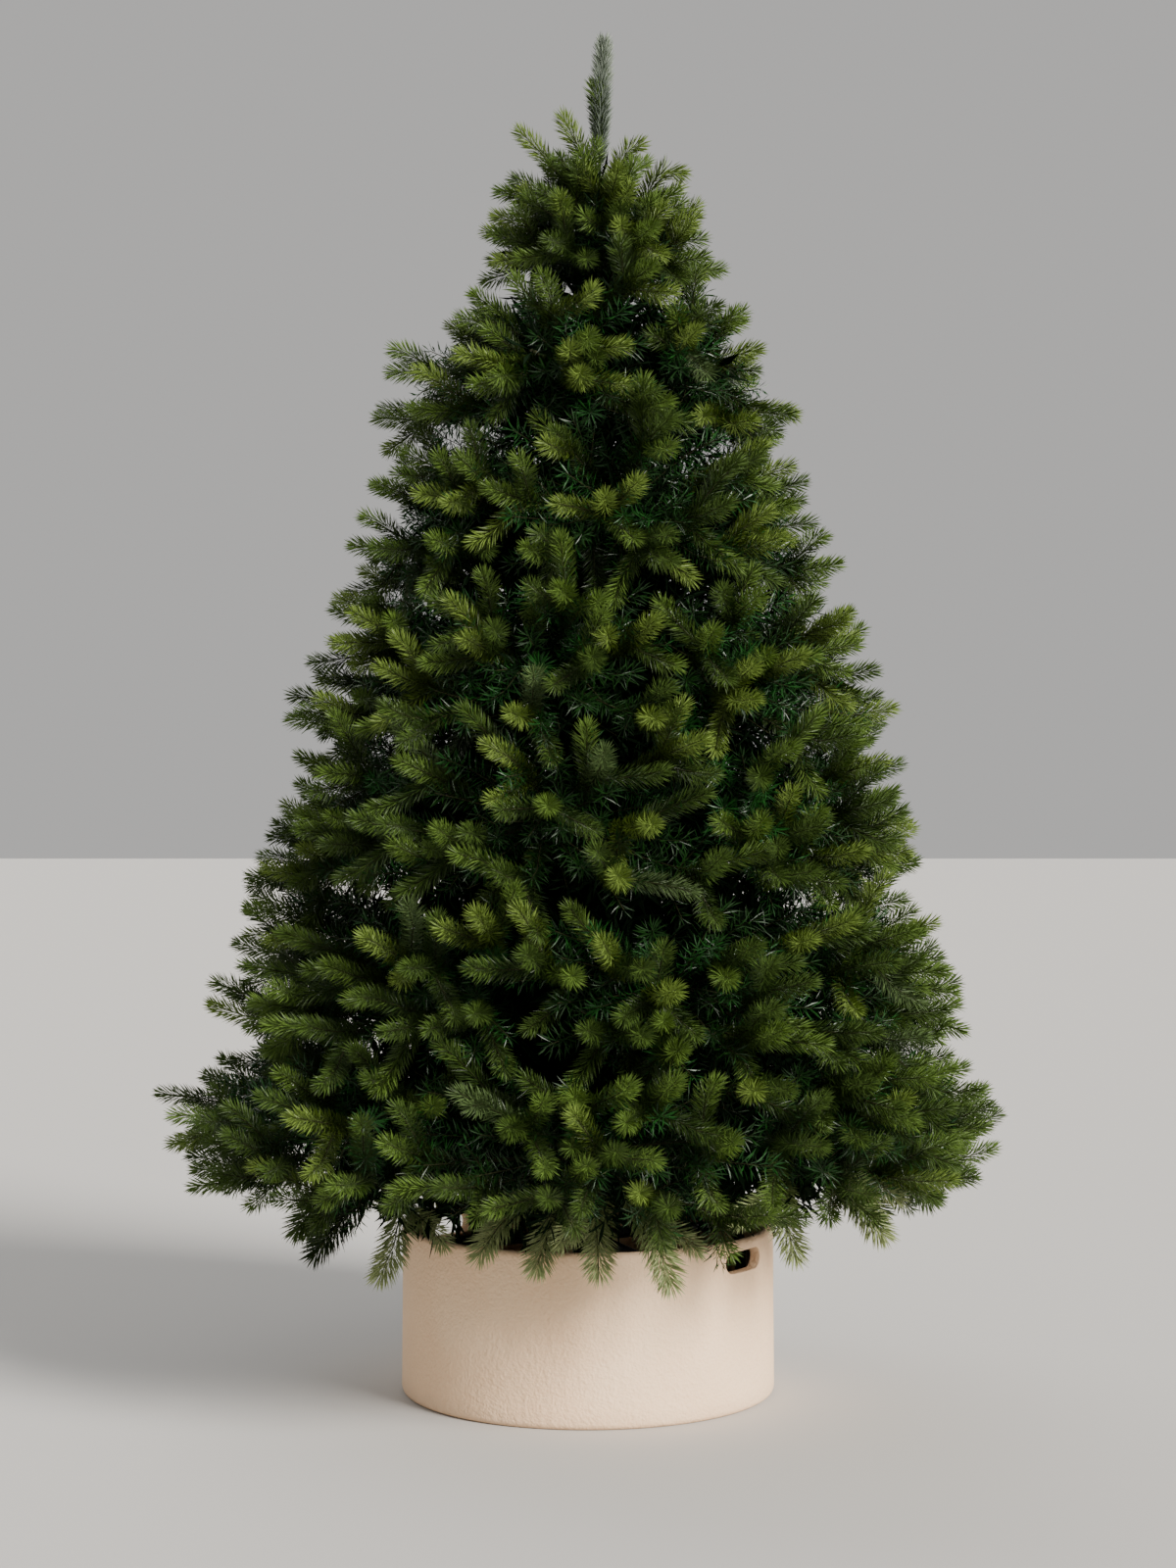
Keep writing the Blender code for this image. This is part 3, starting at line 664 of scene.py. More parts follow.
def bend(start, leaving, end, arriving, points=LIMB_POINTS):
    """A smooth chain of points between two places, leaving and arriving in two directions."""
    handle = 0.4 * (end - start).length
    return interpolate_bezier(start, start + leaving * handle, end - arriving * handle, end, points)


def cut_from_end(points, length):
    """A chain in two parts: up to a length from its end, and that end."""
    outer = [points[-1]]
    for i in range(len(points) - 2, -1, -1):
        step = (points[i] - outer[-1]).length
        if step >= length:
            outer.append(outer[-1].lerp(points[i], length / step))
            return points[: i + 1] + [outer[-1]], outer[::-1]
        outer.append(points[i])
        length -= step
    return [], points


def shoot(limb, back, lean, roll, length):
    """A chain that leaves a limb by a lean angle, at a roll angle round it, and stays in the crown."""
    root, following = cut_from_end(limb, back)[1][:2]
    forward = (following - root).normalized()
    side = forward.cross(Vector((0.0, 0.0, 1.0))).normalized()
    up = side.cross(forward)
    out = side * math.cos(roll) + up * math.sin(roll)
    ahead = forward * math.cos(lean) + out * math.sin(lean)
    end = root + ahead * length
    azimuth = math.atan2(end.x, -end.y)
    excess = math.hypot(end.x, end.y) - full_reach(azimuth, end.z) + END_GAP
    if excess > 0.0:
        end -= ahead * min(excess / max(0.4, ahead.dot(outward(azimuth))), 0.5 * length)
    arriving = (ahead + forward * 1.3).normalized()
    return bend(root, (forward + ahead).normalized(), end, arriving, SHOOT_POINTS)


class Crown:
    """Everything that grows: stems by thickness, and strands of needles and film by shade."""

    def __init__(self):
        self.boughs = []
        self.stems = []
        self.tips = defaultdict(list)
        self.film = defaultdict(list)

    def stem(self, points, root, end):
        step = (end - root) / (len(points) - 1)
        self.stems.append(Strand(points, tuple(root + step * i for i in range(len(points)))))

    def tip(self, points, shade, size=1.0):
        self.tips[shade].append(Strand(points, size))
        self.stem(points, STEM_RADIUS * STEM_ROOT, STEM_RADIUS * STEM_END)

    def limb(self, points, chance, shade, size=1.0):
        """A limb with its film and its own tip."""
        inner, outer = cut_from_end(points, TIP_LENGTH)
        self.tip(outer, shade, size * chance.uniform(0.95, 1.05))
        if inner:
            self.stem(inner, LIMB_RADIUS, STEM_RADIUS * STEM_ROOT)
            self.film[chance.choice(FILM_CHOICE)].append(Strand(inner, LIMB_FILM))

    def shoots(self, points, chance, scale=1.0):
        """Side tips round a limb, sometimes one further in, and twigs of film."""
        roll = chance.uniform(0.0, math.tau)
        count = chance.choices(*SHOOT_COUNTS)[0]
        outer = [(roll + SHOOT_ROLL * i + chance.uniform(-0.4, 0.4), SHOOT_BACK) for i in range(count)]
        inner = [(roll + math.pi / 2, INNER_BACK)] if chance.random() < INNER_CHANCE else []
        for places, shades in ((outer, OUTER_SHADES), (inner, INNER_SHADES)):
            for around, backs in places:
                lean = math.radians(chance.uniform(*SHOOT_TURN))
                length = chance.uniform(*SHOOT_LENGTH) * scale
                shot = shoot(points, chance.uniform(*backs) * scale, lean, around, length)
                shade = pick_shade(chance, shades, shot[-1].z)
                self.tip(shot, shade, chance.uniform(*SHOOT_SIZE))
        for i in range(TWIGS):
            around = roll + math.tau / TWIGS * i + chance.uniform(-0.6, 0.6)
            back = chance.uniform(*TWIG_BACK) * scale
            twig = shoot(points, back, chance.uniform(*TWIG_TURN), around, TWIG_LENGTH * scale)
            self.film[chance.choice(FILM_CHOICE)].append(Strand(twig, TWIG_FILM))
            self.stem(twig, STEM_RADIUS, STEM_RADIUS * STEM_END)


def pick_shade(chance, shades, z):
    """A tip's shade, at random, with painted shade by height: the darker outer ones come more often
    further down.
    """
    names, above, below = shades
    share = fade(z, *PAINTED_SHADE_HEIGHTS)
    weights = [low + (high - low) * share for high, low in zip(above, below)]
    return chance.choices(names, weights)[0]


def grow_space(crown, space):
    """A sector's bough, with its limbs and everything on them."""
    full = reach_along(space.azimuth, (space.low + space.high) / 2)
    bough = [on_bough(space, radius) for radius in (PIN_CIRCLE, BOUGH_REACH * full)]
    crown.boughs.append(Strand(bough, (BOUGH_RADIUS, BOUGH_RADIUS * BOUGH_TAPER)))
    # near-black film along the bough, painted shade of the crown's inside
    crown.film["deep"].append(Strand([bough[0].lerp(bough[1], 0.1), bough[1]], BOUGH_DARK))
    rising = (bough[1] - bough[0]).normalized()
    for chance, azimuth, cone in spray_sites(space):
        tip, direction = site_tip(space, chance, azimuth, cone)
        tip, direction = stray(chance, space, tip, direction)
        radius = math.hypot(tip.x, tip.y)
        start = on_bough(space, radius * chance.uniform(*LIMB_START))
        limb = bend(start, rising, tip - direction * END_GAP, direction)
        crown.limb(limb, chance, pick_shade(chance, OUTER_SHADES, tip.z))
        crown.shoots(limb, chance, min(1.0, 0.45 + radius))
    fill(crown, space, rising)
    if space.tier == 0:
        grow_droops(crown, space, rising)


def stray(chance, space, tip, direction):
    """Spreads a sector's tips up to its edges, and each a little aside, so that rows don't show."""
    azimuth = math.atan2(tip.x, -tip.y)
    radius = math.hypot(tip.x, tip.y)
    short = reach(azimuth, tip.z) - radius
    aside = (azimuth - space.azimuth + math.pi) % math.tau - math.pi
    inset = (SPRAY_HALF_WIDTH + SPRAY_MARGIN) / radius / space.half_angle
    azimuth = space.azimuth + aside / (1 - inset)
    z = tip.z + chance.uniform(-STRAY_Z, STRAY_Z)
    azimuth += chance.uniform(-STRAY_ASIDE, STRAY_ASIDE) / max(0.15, radius)
    turn = Vector([chance.uniform(-STRAY_TURN, STRAY_TURN) for _ in range(3)])
    end = place(full_reach(azimuth, z) - max(0.0, short), azimuth, z)
    return end, (direction + turn).normalized()


def fill(crown, space, rising):
    """Twigs of near-black film, painted shade, through the inside of a mass, with a ring of green film
    round them.
    """
    height = space.high - space.low
    rows = round(height / FILL_ROWS)
    for row in range(rows):
        cone = space.low + height * (row + 0.5) / rows
        rings = FILL_RINGS[:4] if cone < FILL_LOW else FILL_RINGS
        for ring, (share, size) in enumerate(rings):
            full = reach_along(space.azimuth, cone)
            radius = min(share * full, full - (FILL_INSET if size else FILM_INSET))
            columns = max(1, round(2 * space.half_angle * radius / FILL_COLUMNS))
            for column in range(columns):
                chance = random.Random(f"fill {space.tier} {space.sector} {row} {ring} {column}")
                across = (column + 0.5 + chance.uniform(-0.3, 0.3)) / columns - 0.5
                azimuth = space.azimuth + 2 * space.half_angle * across
                end = place(radius, azimuth, cone + RISE * radius + chance.uniform(-0.02, 0.02))
                start = on_bough(space, max(PIN_CIRCLE, radius - chance.uniform(*FILL_BACK)))
                twig = bend(start, rising, end, aim(azimuth, 0.1), SHOOT_POINTS)
                outer = cut_from_end(twig, FILL_TWIG)[1]
                if size:
                    near_pole = min(1.0, 0.48 + 1.7 * radius)
                    crown.film["deep"].append(Strand(outer, size * near_pole))
                else:
                    crown.film[chance.choice(RING_CHOICE)].append(Strand(outer, RING_FILM))
                crown.stem(twig, STEM_RADIUS, STEM_RADIUS * STEM_END)


def grow_droops(crown, space, rising):
    """Limbs that hang from the lowest tier, outside the collar, each with a tip to one side."""
    for i in range(DROOPS):
        chance = random.Random(f"droop {space.sector} {i}")
        across = (i + 0.5) / DROOPS - 0.5
        azimuth = space.azimuth + DROOP_FAN * space.half_angle * across + chance.uniform(-0.04, 0.04)
        azimuth += DROOP_TURN
        aside = math.sin(azimuth)
        radius = chance.uniform(*DROOP_RADIUS)
        radius = radius + DROOP_OUT * abs(aside) + DROOP_RIGHT * max(0.0, aside)
        tip = place(radius, azimuth, chance.uniform(*DROOP_Z) + DROOP_TILT * aside)
        direction = aim(azimuth, -math.radians(chance.uniform(*DROOP_ANGLE)))
        limb = bend(on_bough(space, DROOP_START), rising, tip - direction * END_GAP, direction)
        # painted light: pale tips for the hanging limbs at the front and back; painted shade: dark ones
        # for those aside
        shade = "hanging" if abs(aside) < PAINTED_LIGHT_ASIDE else pick_shade(chance, INNER_SHADES, tip.z)
        crown.limb(limb, chance, shade, DROOP_SIZE)
        inner = cut_from_end(limb, 0.1)[0]
        crown.film["dark"].append(Strand(inner, LIMB_FILM))
        # near-black film, painted shade, along the hanging limb's inner part
        crown.film["deep"].append(Strand(inner, DROOP_DARK))
        lean = math.radians(chance.uniform(*SHOOT_TURN))
        back, length = DROOP_SHOOT
        points = shoot(limb, back, lean, math.pi * (i % 2), length)
        crown.tip(points, shade)


def grow_top(crown):
    """The leader and the whorls round it, down to the highest tier."""
    foot = Vector((0.0, 0.0, POLE_TOP))
    for low, high, size in CORE:
        # near-black film round the pole, painted shade
        crown.film["deep"].append(Strand([Vector((0.0, 0.0, low)), Vector((0.0, 0.0, high))], size))
    direction = aim(LEADER_TURN, LEADER_PITCH)
    end = Vector((LEADER_ASIDE, 0.0, TREE_HEIGHT)) - direction * END_GAP
    leader = bend(foot, Vector((0.0, 0.0, 1.0)), end, direction)
    inner, outer = cut_from_end(leader, LEADER_LENGTH)
    crown.stem(leader, LIMB_RADIUS * 1.6, STEM_RADIUS)
    crown.tips["leader"].append(Strand(outer, 1.15))
    crown.tips["moss"].append(Strand(outer, 0.75))
    crown.film["dark"].append(Strand(inner, LEADER_FILM))
    # near-black film, painted shade, round the leader's stem
    crown.film["deep"].append(Strand(inner, LEADER_DARK))
    for turn, radius, z, pitch in TOP_TIPS:
        chance = random.Random(f"top {turn}")
        tip = place(radius, math.radians(turn), z)
        top_limb(crown, chance, tip, math.radians(pitch), radius)
    for count, radius, z, pitch, turn in WHORLS:
        for i in range(count):
            chance = random.Random(f"whorl {z} {i}")
            azimuth = math.radians(turn + 360 * i / count) + chance.uniform(-0.15, 0.15)
            end = radius * chance.uniform(0.86, 1.04)
            tip = place(end, azimuth, z + chance.uniform(-0.02, 0.02))
            raised = math.radians(pitch + chance.uniform(-8, 8))
            limb = top_limb(crown, chance, tip, raised, radius)
            roll = chance.uniform(0.0, math.tau)
            for j in range(WHORL_TIPS):
                lean = math.radians(chance.uniform(*SHOOT_TURN))
                back = chance.uniform(0.07, 0.10)
                points = shoot(limb, back, lean, roll + 2.1 * j, WHORL_SHOOT)
                crown.tip(points, pick_shade(chance, OUTER_SHADES, points[-1].z), SHOOT_SIZE[0])
            for j in range(WHORL_TWIGS):
                lean = chance.uniform(0.3, 1.0)
                twig = shoot(limb, 0.12, lean, roll + 1.0 + 3.0 * j, WHORL_TWIG)
                crown.film["dark"].append(Strand(twig, WHORL_FILM))
                # near-black film, painted shade, on the whorl's twigs
                crown.film["deep"].append(Strand(twig, WHORL_DARK))


def top_limb(crown, chance, tip, pitch, radius):
    """A limb that leaves the leader's stem for a tip."""
    direction = aim(math.atan2(tip.x, -tip.y), pitch)
    start = Vector((0.0, 0.0, max(POLE_TOP, tip.z - 0.10 - 0.5 * radius)))
    leaving = (direction + Vector((0.0, 0.0, 0.6))).normalized()
    limb = bend(start, leaving, tip - direction * END_GAP, direction)
    crown.limb(limb, chance, pick_shade(chance, OUTER_SHADES, tip.z))
    return limb


# ---------------------------------------------------------------- materials


def new_material(name, **values):
    """A material with plain values on its shader, and its net."""
    made = bpy.data.materials.new(name)
    made.use_nodes = True
    shader = made.node_tree.nodes["Principled BSDF"]
    for label, value in values.items():
        socket = shader.inputs[label.replace("_", " ").title().replace("Ior", "IOR")]
        socket.default_value = (*value, 1.0) if isinstance(value, tuple) else value
    return made, Net(made.node_tree), shader


def moulded(name, colour):
    """Moulded needles: one plain colour to a spray."""
    return new_material(name, base_color=colour, roughness=0.46, specular_ior_level=0.30)[0]


def cut_film(name, colour, roughness, shine):
    """Cut plastic film, which glints where it isn't dull."""
    return new_material(name, base_color=colour, roughness=roughness, specular_ior_level=shine)[0]


def position(net):
    return net.node("ShaderNodeTexCoord", output="Object")


def cloud(net, scale, detail=3.0, roughness=0.55):
    values = {"Vector": position(net), "Scale": scale, "Detail": detail, "Roughness": roughness}
    return net.node("ShaderNodeTexNoise", None, values)


def ramp(net, value, low, high):
    """0 below low, 1 above high, and smooth between."""
    values = {0: value, 1: low, 2: high, 3: 0.0, 4: 1.0}
    return net.node("ShaderNodeMapRange", {"clamp": True, "interpolation_type": "SMOOTHSTEP"}, values)


def mixed(net, factor, first, second):
    pair = {
        6 + i: colour if isinstance(colour, Signal) else (*colour, 1.0)
        for i, colour in enumerate((first, second))
    }
    return net.node("ShaderNodeMix", {"data_type": "RGBA"}, {0: factor, **pair}, 2)


def bump(net, height, strength, distance):
    return net.node(
        "ShaderNodeBump", None, {"Strength": strength, "Distance": distance, "Height": height}
    )


def collar_plaster():
    """Sand-coloured cast plaster: fine uneven grain, soft clouds, and darker towards the foot."""
    made, net, shader = new_material("collar_plaster", specular_ior_level=0.25)
    z = net.node("ShaderNodeSeparateXYZ", None, {"Vector": position(net)}, "Z")
    clouds = cloud(net, 5.0, 4.0)
    grain = cloud(net, 230.0, 3.0, 0.6)
    coarse = cloud(net, 105.0, 2.0, 0.5)
    dots = {"Vector": position(net), "Scale": 250.0}
    pits = net.node("ShaderNodeTexVoronoi", {"feature": "SMOOTH_F1"}, dots)
    colour = mixed(net, ramp(net, clouds, 0.35, 0.65), (0.90, 0.610, 0.380), (0.95, 0.680, 0.440))
    colour = mixed(net, ramp(net, grain, 0.30, 0.70) * 0.35, colour, (0.97, 0.740, 0.515))
    # darker within 35 mm of the floor
    darker_at_foot = (1.0 - ramp(net, z, 0.0, 0.035)) * 0.30
    colour = mixed(net, darker_at_foot, colour, (0.50, 0.37, 0.26))
    height = grain * 0.7 + coarse * 1.0 + pits * 0.45
    net.feed(shader.inputs["Base Color"], colour)
    net.feed(shader.inputs["Roughness"], 0.74 + 0.16 * clouds)
    net.feed(shader.inputs["Normal"], bump(net, height, 0.9, 0.0017))
    return made


Coat = namedtuple("Coat", "shine patches edges colours roughness grain")
COATS = {
    # dark green enamel on steel, with the orange peel of a sprayed coat and dull rubbed patches
    "pole_enamel": Coat(
        shine=0.5,
        patches=(38.0, 4.0, 0.65),
        edges=(0.55, 0.72),
        colours=((0.012, 0.040, 0.016), (0.030, 0.060, 0.030)),
        roughness=(0.30, 0.28),
        grain=(420.0, 0.15, 0.0004),
    ),
    # film wrapped round twisted wire
    "bough_wrap": Coat(
        shine=0.4,
        patches=(90.0, 3.0, 0.55),
        edges=(0.45, 0.70),
        colours=((0.022, 0.040, 0.012), (0.075, 0.060, 0.030)),
        roughness=(0.50, 0.25),
        grain=(300.0, 0.4, 0.0006),
    ),
    # a fine pebbled black powder coat
    "black_steel": Coat(
        shine=0.5,
        patches=(24.0, 3.0, 0.55),
        edges=(0.4, 0.8),
        colours=((0.012, 0.012, 0.013), (0.026, 0.026, 0.027)),
        roughness=(0.42, 0.2),
        grain=(900.0, 0.3, 0.0004),
    ),
    # black rubber, scuffed to grey
    "foot_rubber": Coat(
        shine=0.3,
        patches=(110.0, 4.0, 0.55),
        edges=(0.5, 0.75),
        colours=((0.016, 0.016, 0.016), (0.05, 0.048, 0.045)),
        roughness=(0.8, 0.15),
        grain=(600.0, 0.3, 0.0004),
    ),
}


def coated(name):
    """One of the coats: a colour with worn patches of another, rougher there, over a fine grain."""
    coat = COATS[name]
    made, net, shader = new_material(name, specular_ior_level=coat.shine)
    worn = ramp(net, cloud(net, *coat.patches), *coat.edges)
    least, more = coat.roughness
    scale, strength, depth = coat.grain
    net.feed(shader.inputs["Base Color"], mixed(net, worn, *coat.colours))
    net.feed(shader.inputs["Roughness"], least + more * worn)
    net.feed(shader.inputs["Normal"], bump(net, cloud(net, scale, 2.0), strength, depth))
    return made


# ---------------------------------------------------------------- pieces


def keep(made, slot, *nodes):
    """Fixes a finished piece to the body, in place of any nodes it replaces. Its slot is not used."""
    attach(made, "root")
    if nodes:
        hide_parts(*nodes)


def handle_cutter(azimuth):
    """A bar with round ends that passes through the collar's wall."""
    end = HANDLE_HEIGHT / 2
    straight = HANDLE_LENGTH / 2 - end
    outline = arc((straight, 0.0), end, -90, 90, 14) + arc((-straight, 0.0), end, 90, 270, 14)
    bm = bmesh.new()
    face = bm.faces.new([bm.verts.new((x, y, -1.5 * COLLAR_WALL)) for x, y in outline])
    made = bmesh.ops.extrude_face_region(bm, geom=[face])
    moved = [item for item in made["geom"] if isinstance(item, bmesh.types.BMVert)]
    bmesh.ops.translate(bm, verts=moved, vec=(0.0, 0.0, 3.0 * COLLAR_WALL))
    bmesh.ops.recalc_face_normals(bm, faces=bm.faces)
    mesh = bpy.data.meshes.new("handle_cut")
    bm.to_mesh(mesh)
    bm.free()
    cutter = link("handle_cut", mesh)
    cutter.location = place(COLLAR_RADIUS - COLLAR_WALL / 2, azimuth, HANDLE_Z)
    cutter.rotation_euler = (math.radians(90), 0.0, azimuth)
    return cutter


def make_collar():
    """A ring with a full round rim, slightly uneven hand-smoothed sides and two hand holes."""
    half = COLLAR_WALL / 2
    top = COLLAR_HEIGHT - half
    rim = (COLLAR_RADIUS - COLLAR_TAPER - half, top)
    foot = (COLLAR_RADIUS - COLLAR_FOOT_ROUND, COLLAR_FOOT_ROUND)
    inside = COLLAR_RADIUS - COLLAR_WALL
    steps = [i / COLLAR_ROWS for i in range(1, COLLAR_ROWS)]
    fall = COLLAR_FOOT_ROUND - top
    outer = [(rim[0] + half + COLLAR_TAPER * t, top + fall * t) for t in steps]
    inner = [(inside - COLLAR_TAPER * t, COLLAR_FOOT_ROUND - fall * t) for t in steps]
    profile = arc(rim, half, 180, 0, 10) + outer + arc(foot, COLLAR_FOOT_ROUND, 0, -90, 6)
    profile += [(inside + 0.002, 0.0), (inside, 0.002)] + inner
    collar = turned("collar_shell", profile, COLLAR_SEGMENTS, collar_plaster(), closed=True)
    for vert in collar.data.vertices:
        wave = 0.5 + 0.5 * noise.noise(vert.co / COLLAR_WAVE_SIZE)
        away = Vector((vert.co.x, vert.co.y, 0.0)).normalized()
        out = 1.0 if vert.co.xy.length > inside + half else -1.0
        vert.co -= away * out * COLLAR_WAVES * wave * fade(vert.co.z, 0.0, 0.012)
    cutters = [handle_cutter(azimuth) for azimuth in (HANDLE_AZIMUTH, HANDLE_AZIMUTH + math.pi)]
    for cutter in cutters:
        hole = collar.modifiers.new("Hand hole", "BOOLEAN")
        hole.operation = "DIFFERENCE"
        hole.object = cutter
    edge = collar.modifiers.new("Hand hole edge", "BEVEL")
    edge.width = HANDLE_ROUND
    edge.segments = 4
    edge.limit_method = "ANGLE"
    edge.angle_limit = math.radians(55)
    plain_mesh(collar)
    for cutter in cutters:
        bpy.data.objects.remove(cutter)
    smooth(collar, 40)
    keep(collar, "collar_cast", "collar")


def ring_profile(radius, z):
    """A hinge ring on a pole of some radius: two plates with a neck between them."""
    top, bottom = z + RING_HEIGHT / 2, z - RING_HEIGHT / 2
    neck = radius + 0.0015
    edge = 0.0006
    return [
        (radius, top),
        (RING_RADIUS - edge, top),
        (RING_RADIUS, top - edge),
        (RING_RADIUS, top - RING_PLATE),
        (neck, top - RING_PLATE),
        (neck, bottom + RING_PLATE),
        (RING_RADIUS, bottom + RING_PLATE),
        (RING_RADIUS, bottom + edge),
        (RING_RADIUS - edge, bottom),
        (radius, bottom),
    ]


def ring_heights():
    """Where each tier's boughs meet the pole."""
    return [(low + high) / 2 + RISE * RING_RADIUS for low, high in zip(TIER_EDGES, TIER_EDGES[1:])]


def make_pole():
    """Three lengths of tube, each sitting in a wider one, with a hinge ring for each tier."""
    events = [(z, "ring") for z in ring_heights()] + [(z, "step") for z, _ in POLE_STEPS[1:]]
    radius = POLE_STEPS[-1][1]
    profile = [(0.0, POLE_TOP), (radius - 0.001, POLE_TOP), (radius, POLE_TOP - 0.001)]
    for z, kind in sorted(events, reverse=True):
        if kind == "ring":
            profile += ring_profile(radius, z)
        else:
            below = [r for start, r in POLE_STEPS if start < z][-1]
            profile += [(radius, z), (below - 0.0005, z - 0.0005), (below, z - SLEEVE_CHAMFER)]
            radius = below
    profile += [(radius, POLE_STEPS[0][0]), (0.0, POLE_STEPS[0][0])]
    enamel = coated("pole_enamel")
    pole = turned("pole_tube", profile, POLE_SEGMENTS, enamel)
    pole.data.transform(LEANING)
    smooth(pole, 35)
    keep(pole, "pole_paint", "pole")
    return enamel


def hinge_pins():
    """A pin in its ring for each bough."""
    pins = []
    for space in spaces():
        z = ring_heights()[space.tier]
        half = RING_HEIGHT / 2 + 0.002
        ends = [place(PIN_CIRCLE, space.azimuth, z + side * half) for side in (-1, 1)]
        pins.append(Strand(ends, PIN_RADIUS))
    return pins


SHADES = {  # of a tip's body and of its younger end
    "yellow": ((0.044, 0.073, 0.007), (0.122, 0.184, 0.032)),
    "leaf": ((0.028, 0.055, 0.006), (0.078, 0.135, 0.021)),
    "moss": ((0.019, 0.040, 0.005), (0.046, 0.084, 0.013)),
    # painted shade: near-black tips, for those deeper inside the crown and the hanging ones aside
    "deep": ((0.007, 0.017, 0.002), (0.011, 0.026, 0.003)),
    # painted light: a pale copy of the tips' green, for the hanging ones at the front and back
    "hanging": ((0.170, 0.220, 0.080), (0.270, 0.320, 0.140)),
    "frosted": ((0.038, 0.064, 0.019), (0.070, 0.112, 0.036)),
    "leader": ((0.190, 0.225, 0.190), (0.250, 0.290, 0.240)),
}
FILM_SHADES = {  # colour, how rough, and how shiny
    "bright": ((0.006, 0.050, 0.006), 0.36, 0.4),
    "dark": ((0.005, 0.027, 0.003), 0.40, 0.3),
    # painted shade: film far darker than the real green film, for the crown's inside
    "deep": ((0.003, 0.009, 0.003), 0.90, 0.05),
}


def make_foliage(crown):
    """The moulded tips, each shade in two pieces, and the film, in place of the solid masses."""
    brush = brush_group()
    needle = needle_form()
    masses = sorted(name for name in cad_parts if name.startswith("foliage_"))
    common = {"needle": needle, "flatness": NEEDLE_FLATNESS}
    for seed, (shade, strands) in enumerate(sorted(crown.tips.items())):
        leader = shade == "leader"
        root, end = LEADER_LEAN if leader else NEEDLE_LEAN
        body, young = SHADES[shade]
        for part, colour, low, high in (
            ("body", body, -1.0, YOUNG_PART),
            ("end", young, YOUNG_PART, 2.0),
        ):
            made = grown(
                f"tips_{shade}_{part}",
                strands,
                brush,
                spacing=NEEDLE_SPACING * (LEADER_SPACING if leader else 1.0),
                length=NEEDLE_LENGTH * (LEADER_NEEDLE if leader else 1.0),
                width=NEEDLE_WIDTH,
                root_lean=math.radians(root),
                end_lean=math.radians(end),
                kept_from=low,
                kept_to=high,
                seed=10 * seed,
                material=moulded(f"moulded_{shade}_{part}", colour),
                **common,
            )
            keep(made, "needles", *masses)
    for seed, (shade, strands) in enumerate(sorted(crown.film.items())):
        deep = shade == "deep"
        made = grown(
            f"film_{shade}",
            strands,
            brush,
            spacing=FILL_SPACING if deep else FILM_SPACING,
            length=FILL_LENGTH if deep else FILM_LENGTH,
            width=FILL_WIDTH if deep else FILM_WIDTH,
            root_lean=math.radians(FILM_LEAN[0]),
            end_lean=math.radians(FILM_LEAN[1]),
            kept_from=-1.0,
            kept_to=2.0,
            seed=500 + 10 * seed,
            material=cut_film(f"film_{shade}", *FILM_SHADES[shade]),
            **common,
        )
        keep(made, "needles", *masses)
    bpy.data.objects.remove(needle)
    return masses


def make_boughs(crown, enamel, masses):
    """The boughs of wrapped wire, their pins in the pole's rings, and every finer stem."""
    rod = rod_group()
    wire = {"sides": 8, "spacing": 0.006, "turns": 1 / BOUGH_TWIST, "flatness": 0.72}
    boughs = grown("boughs", crown.boughs, rod, material=coated("bough_wrap"), **wire)
    smooth(boughs, 60)
    solids = sorted(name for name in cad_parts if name.startswith("bough_"))
    keep(boughs, "bough_wrap", *solids)
    plain = {"turns": 0.0, "flatness": 1.0}
    pins = grown("hinge_pins", hinge_pins(), rod, material=enamel, sides=8, spacing=0.03, **plain)
    smooth(pins, 60)
    keep(pins, "pole_paint")
    brown = new_material(
        "stem_brown", base_color=(0.022, 0.022, 0.007), roughness=0.8, specular_ior_level=0.2
    )[0]
    stems = grown("stems", crown.stems, rod, material=brown, sides=3, spacing=0.042, **plain)
    keep(stems, "bough_wrap", *masses)


def finish_stand():
    """The stand keeps its solids, in black steel and rubber."""
    steel, rubber = coated("black_steel"), coated("foot_rubber")
    for name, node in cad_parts.items():
        if name.startswith("stand_") or name == "clamp_screw":
            material = rubber if name.startswith("stand_foot") else steel
            node.data.materials.clear()
            node.data.materials.append(material)


# ---------------------------------------------------------------- studio

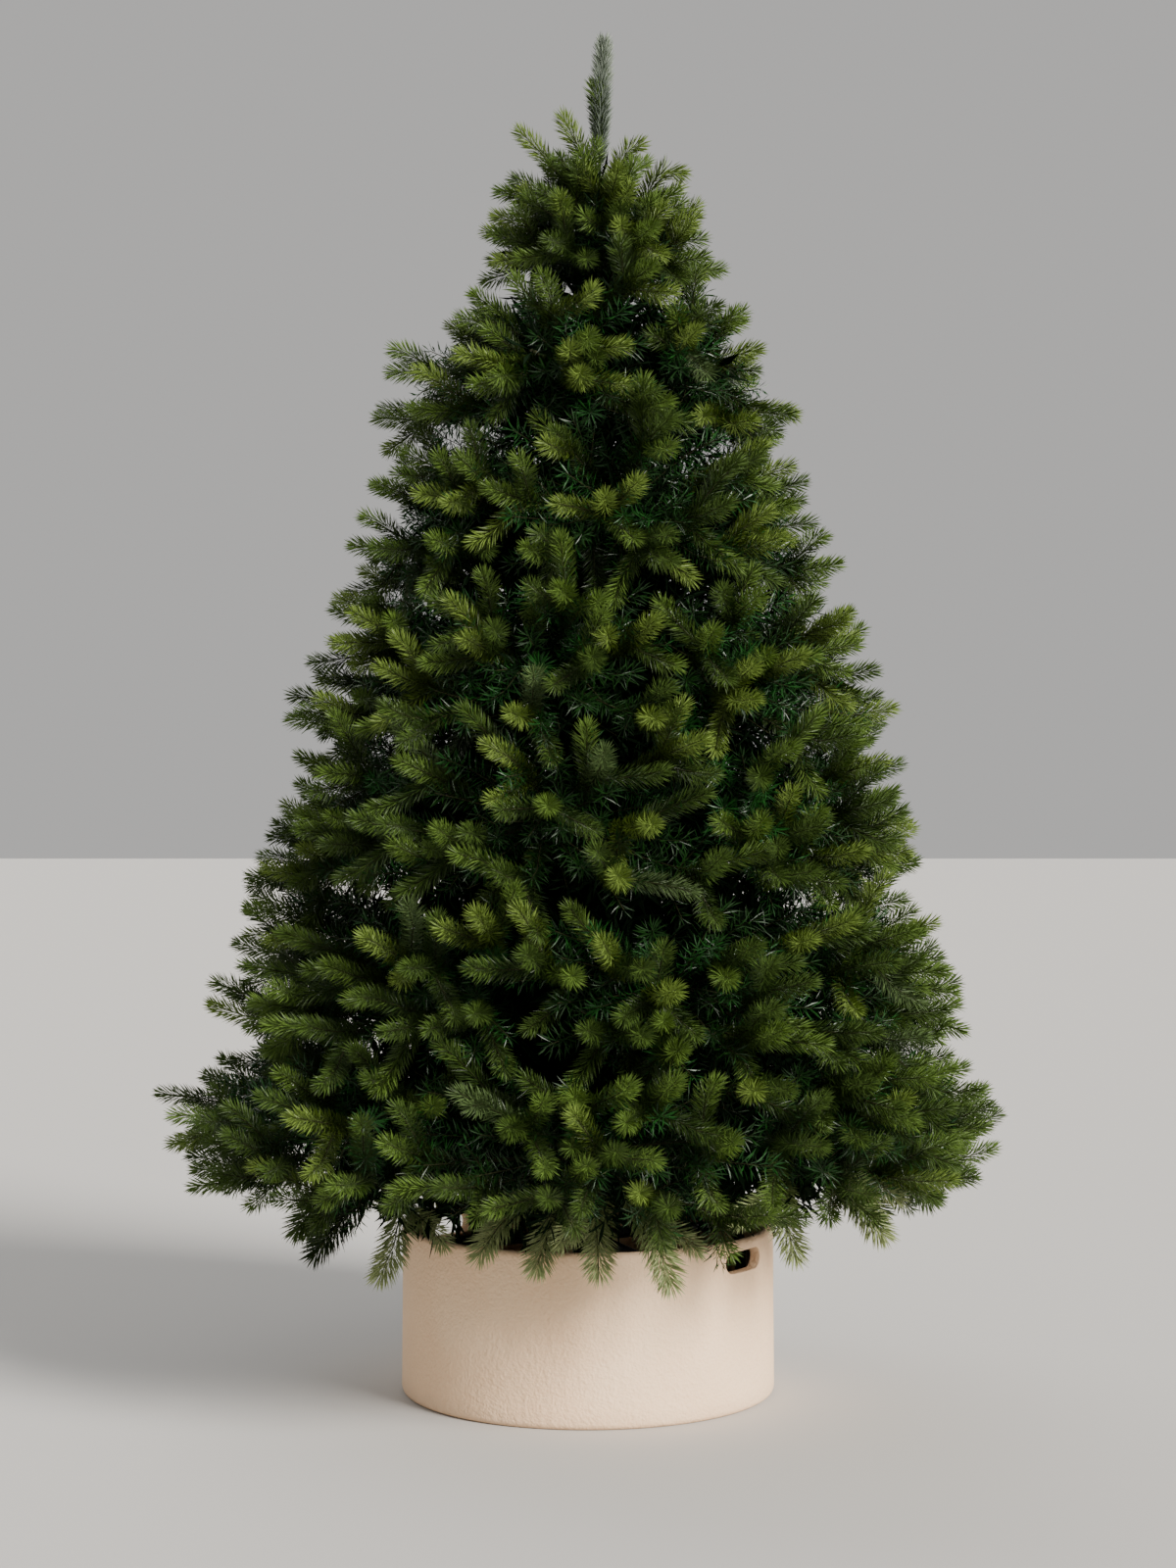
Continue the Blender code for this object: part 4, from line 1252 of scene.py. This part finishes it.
CAMERA_DISTANCE = 4.238
CAMERA_HEIGHT = 0.948
CAMERA_LENS = 61.875
CAMERA_SENSOR = 36.0
SKY = (1.0, 0.985, 0.965, 1.0)
SKY_STRENGTH = 0.49
FLOOR_HALF = 30.0
KEY = ((-3.0, 2.8, -2.35), 7.4, 22, (1.0, 0.955, 0.89))  # toward, strength, angle, colour
BACK = ((1.5, -3.0, -2.4), 1.3, 60)


def soft_sun(name, toward, strength, angle, colour=(1.0, 1.0, 1.0)):
    """An even light from far away, as soft as its angle is wide."""
    data = bpy.data.lights.new(name, "SUN")
    data.energy = strength
    data.angle = math.radians(angle)
    data.color = colour
    made = bpy.data.objects.new(name, data)
    bpy.context.scene.collection.objects.link(made)
    made.rotation_euler = Vector(toward).to_track_quat("-Z", "Y").to_euler()


def make_studio():
    """A plain pale floor, an even sky, two soft lights and the camera."""
    scene = bpy.context.scene
    world = bpy.data.worlds.new("studio")
    world.use_nodes = True
    background = world.node_tree.nodes["Background"]
    background.inputs["Color"].default_value = SKY
    background.inputs["Strength"].default_value = SKY_STRENGTH
    scene.world = world

    mesh = bpy.data.meshes.new("floor")
    half = FLOOR_HALF
    corners = [(-half, -half, 0), (half, -half, 0), (half, half, 0), (-half, half, 0)]
    mesh.from_pydata(corners, [], [(0, 1, 2, 3)])
    pale = new_material("studio_floor", base_color=(0.51, 0.498, 0.48), roughness=0.85)[0]
    mesh.materials.append(pale)
    link("floor", mesh)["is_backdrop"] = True

    soft_sun("key", *KEY)
    soft_sun("back", *BACK)

    camera = bpy.data.cameras.new("camera")
    camera.lens = CAMERA_LENS
    camera.sensor_width = CAMERA_SENSOR
    made = bpy.data.objects.new("camera", camera)
    scene.collection.objects.link(made)
    made.location = (0.0, -CAMERA_DISTANCE, CAMERA_HEIGHT)
    made.rotation_euler = (math.radians(90), 0.0, 0.0)
    scene.camera = made


def main():
    crown = Crown()
    for space in spaces():
        grow_space(crown, space)
    grow_top(crown)
    masses = make_foliage(crown)
    enamel = make_pole()
    make_boughs(crown, enamel, masses)
    make_collar()
    finish_stand()
    make_studio()
    boxes = {"cad": CAD_BOX, "visual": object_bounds()}
    {name: [list(corner) for corner in box] for name, box in boxes.items()}


main()
